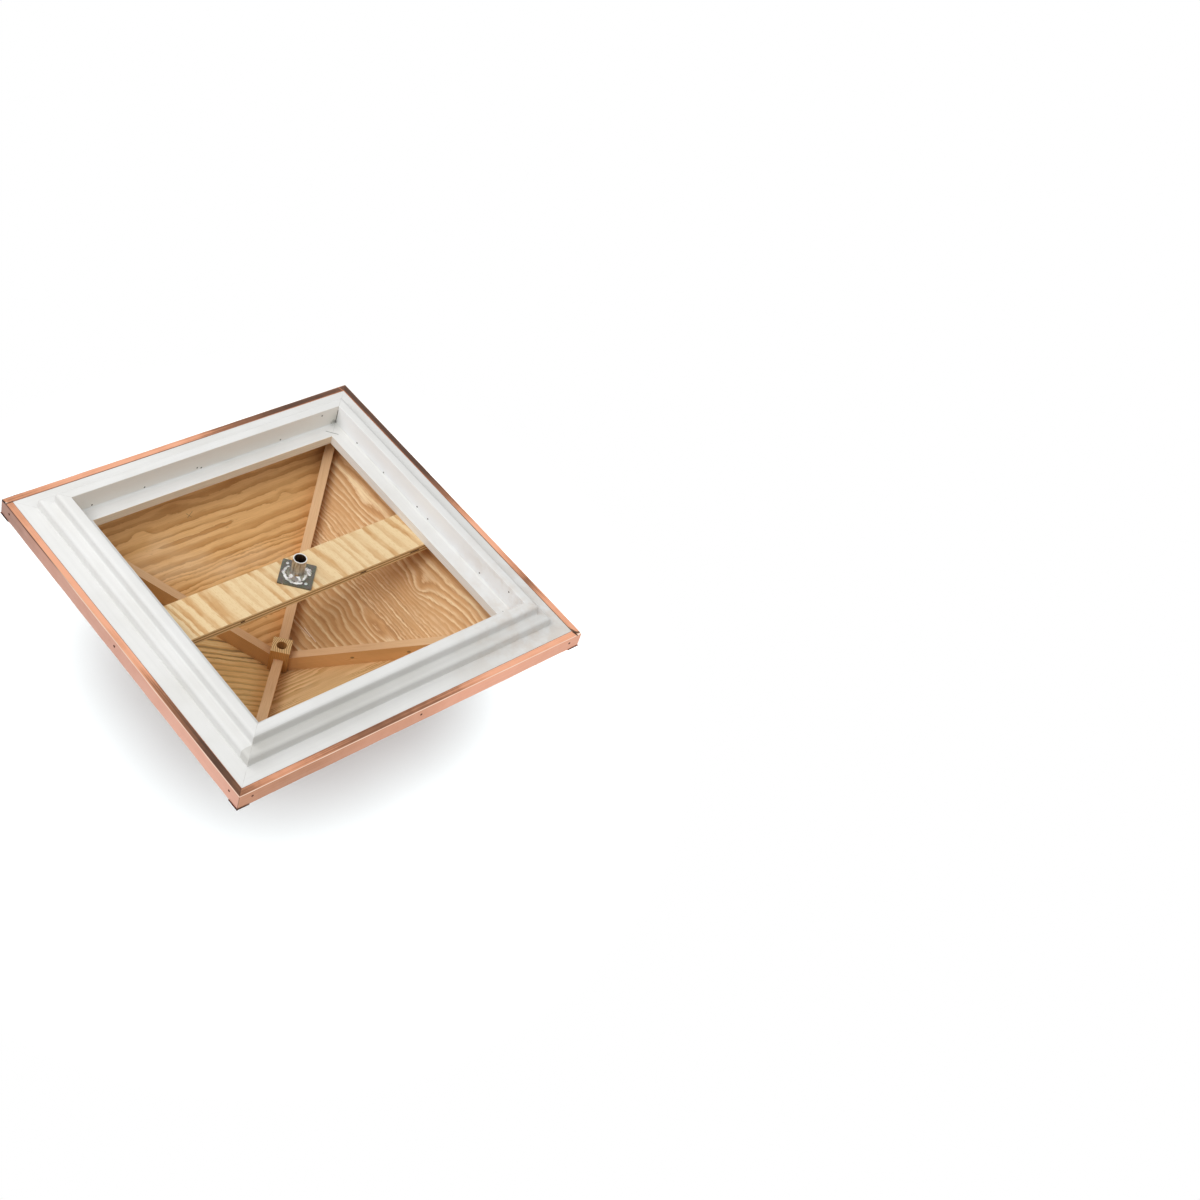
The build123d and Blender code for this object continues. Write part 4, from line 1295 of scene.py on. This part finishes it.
def add_lamp(name, kind, place, strength, gloss=False, **settings):
    """A lamp at a place, facing the origin."""
    light = bpy.data.lights.new(name, kind)
    light.energy = strength
    for setting, value in settings.items():
        setattr(light, setting, value)
    lamp = bpy.data.objects.new(name, light)
    lamp.visible_camera = False
    lamp.visible_glossy = gloss
    lamp.visible_diffuse = not gloss
    lamp.location = place
    lamp.rotation_mode = "QUATERNION"
    lamp.rotation_quaternion = Vector(place).to_track_quat("Z", "Y")
    bpy.context.scene.collection.objects.link(lamp)
    return lamp


def light_only(lamps, piece, state):
    """Make lamps light a piece and nothing else, state INCLUDE, or all but that piece, state EXCLUDE."""
    group = bpy.data.collections.new(f"{piece.name}_{state.lower()}")
    group.objects.link(piece)
    group.collection_objects[0].light_linking.link_state = state
    for lamp in lamps:
        lamp.light_linking.receiver_collection = group


def add_camera(place, aim, up, lens):
    """The camera at a place, with the aim at the middle of its picture."""
    backward = (place - aim).normalized()
    right = up.cross(backward).normalized()
    upward = backward.cross(right)
    data = bpy.data.cameras.new("camera")
    data.lens = lens
    data.sensor_width = 36
    data.clip_start, data.clip_end = 0.05, 50
    camera = bpy.data.objects.new("camera", data)
    camera.rotation_mode = "QUATERNION"
    camera.rotation_quaternion = Matrix((right, upward, backward)).transposed().to_quaternion()
    camera.location = place
    bpy.context.scene.collection.objects.link(camera)
    bpy.context.scene.camera = camera


class CUPOLA_OT_stage(bpy.types.Operator):
    """Set the camera, the lights, the white surroundings and the floors"""

    bl_idname = "cupola.stage"
    bl_label = "Stage"

    def execute(self, context):
        stage = context.scene.cupola_stage
        add_camera(
            Vector(stage.camera_place), Vector(stage.camera_aim), Vector(stage.camera_up), stage.lens)
        context.scene.view_settings.view_transform = "Standard"
        context.scene.world = white_surroundings(stage.dome)
        lamps = [
            add_lamp("key", "SUN", (-1.72, 0.22, -2.436), stage.key, angle=radians(32)),
            add_lamp("fill", "AREA", (-1.1, -1.1, -1.6), stage.fill, shape="DISK", size=1.2),
            add_lamp("back_fill", "SUN", (0.9, 1.8, -1.6), stage.back_fill, angle=radians(50)),
            add_lamp("roof_key", "SUN", (0.3, -2.25, 2.7), stage.roof_key, angle=radians(20)),
        ]
        add_lamp("roof_gloss", "SUN", (0.9, -1.8, 2.3), stage.roof_gloss, gloss=True, angle=radians(60))
        ground_lamp = add_lamp("ground_key", "SUN", GROUND_NORMAL, stage.ground_key, angle=radians(90))
        lit_disc("floor", (0, 0, -0.5 * MM), (0, 0, 1), radius=1.6, share=0.7)
        ground = lit_disc(
            "photo_ground", (0, 0, ferrule_high.z + 1 * MM), GROUND_NORMAL, radius=0.9, share=1.0,
            colour=GROUND_TONE)
        light_only([ground_lamp], ground, "INCLUDE")
        light_only(lamps, ground, "EXCLUDE")
        return {"FINISHED"}


class CUPOLA_PT_panel(bpy.types.Panel):
    """Lists the sizes, colours and steps in the sidebar"""

    bl_idname = "CUPOLA_PT_panel"
    bl_label = "Cupola roof section"
    bl_space_type = "VIEW_3D"
    bl_region_type = "UI"
    bl_category = "Cupola"

    def draw(self, context):
        layout = self.layout
        for operator in STEPS:
            layout.operator(operator.bl_idname)
        scene = context.scene
        for group in (scene.cupola_sizes, scene.cupola_colours, scene.cupola_stage):
            box = layout.box()
            for name in group.bl_rna.properties.keys():
                if name not in ("rna_type", "name"):
                    box.prop(group, name)


GROUPS = [CupolaSizes, CupolaColours, CupolaStage]
STEPS = [
    CUPOLA_OT_stage, CUPOLA_OT_white_trim, CUPOLA_OT_woodwork, CUPOLA_OT_copper, CUPOLA_OT_nails,
    CUPOLA_OT_bracket]


def register():
    for item in GROUPS + STEPS + [CUPOLA_PT_panel]:
        bpy.utils.register_class(item)
    bpy.types.Scene.cupola_sizes = PointerProperty(type=CupolaSizes)
    bpy.types.Scene.cupola_colours = PointerProperty(type=CupolaColours)
    bpy.types.Scene.cupola_stage = PointerProperty(type=CupolaStage)


def unregister():
    del bpy.types.Scene.cupola_stage
    del bpy.types.Scene.cupola_colours
    del bpy.types.Scene.cupola_sizes
    for item in reversed(GROUPS + STEPS + [CUPOLA_PT_panel]):
        bpy.utils.unregister_class(item)


def main():
    register()
    bpy.ops.cupola.stage()
    bpy.ops.cupola.white_trim()
    bpy.ops.cupola.woodwork()
    bpy.ops.cupola.copper()
    bpy.ops.cupola.nails()
    bpy.ops.cupola.bracket()


if __name__ == "__main__":
    main()
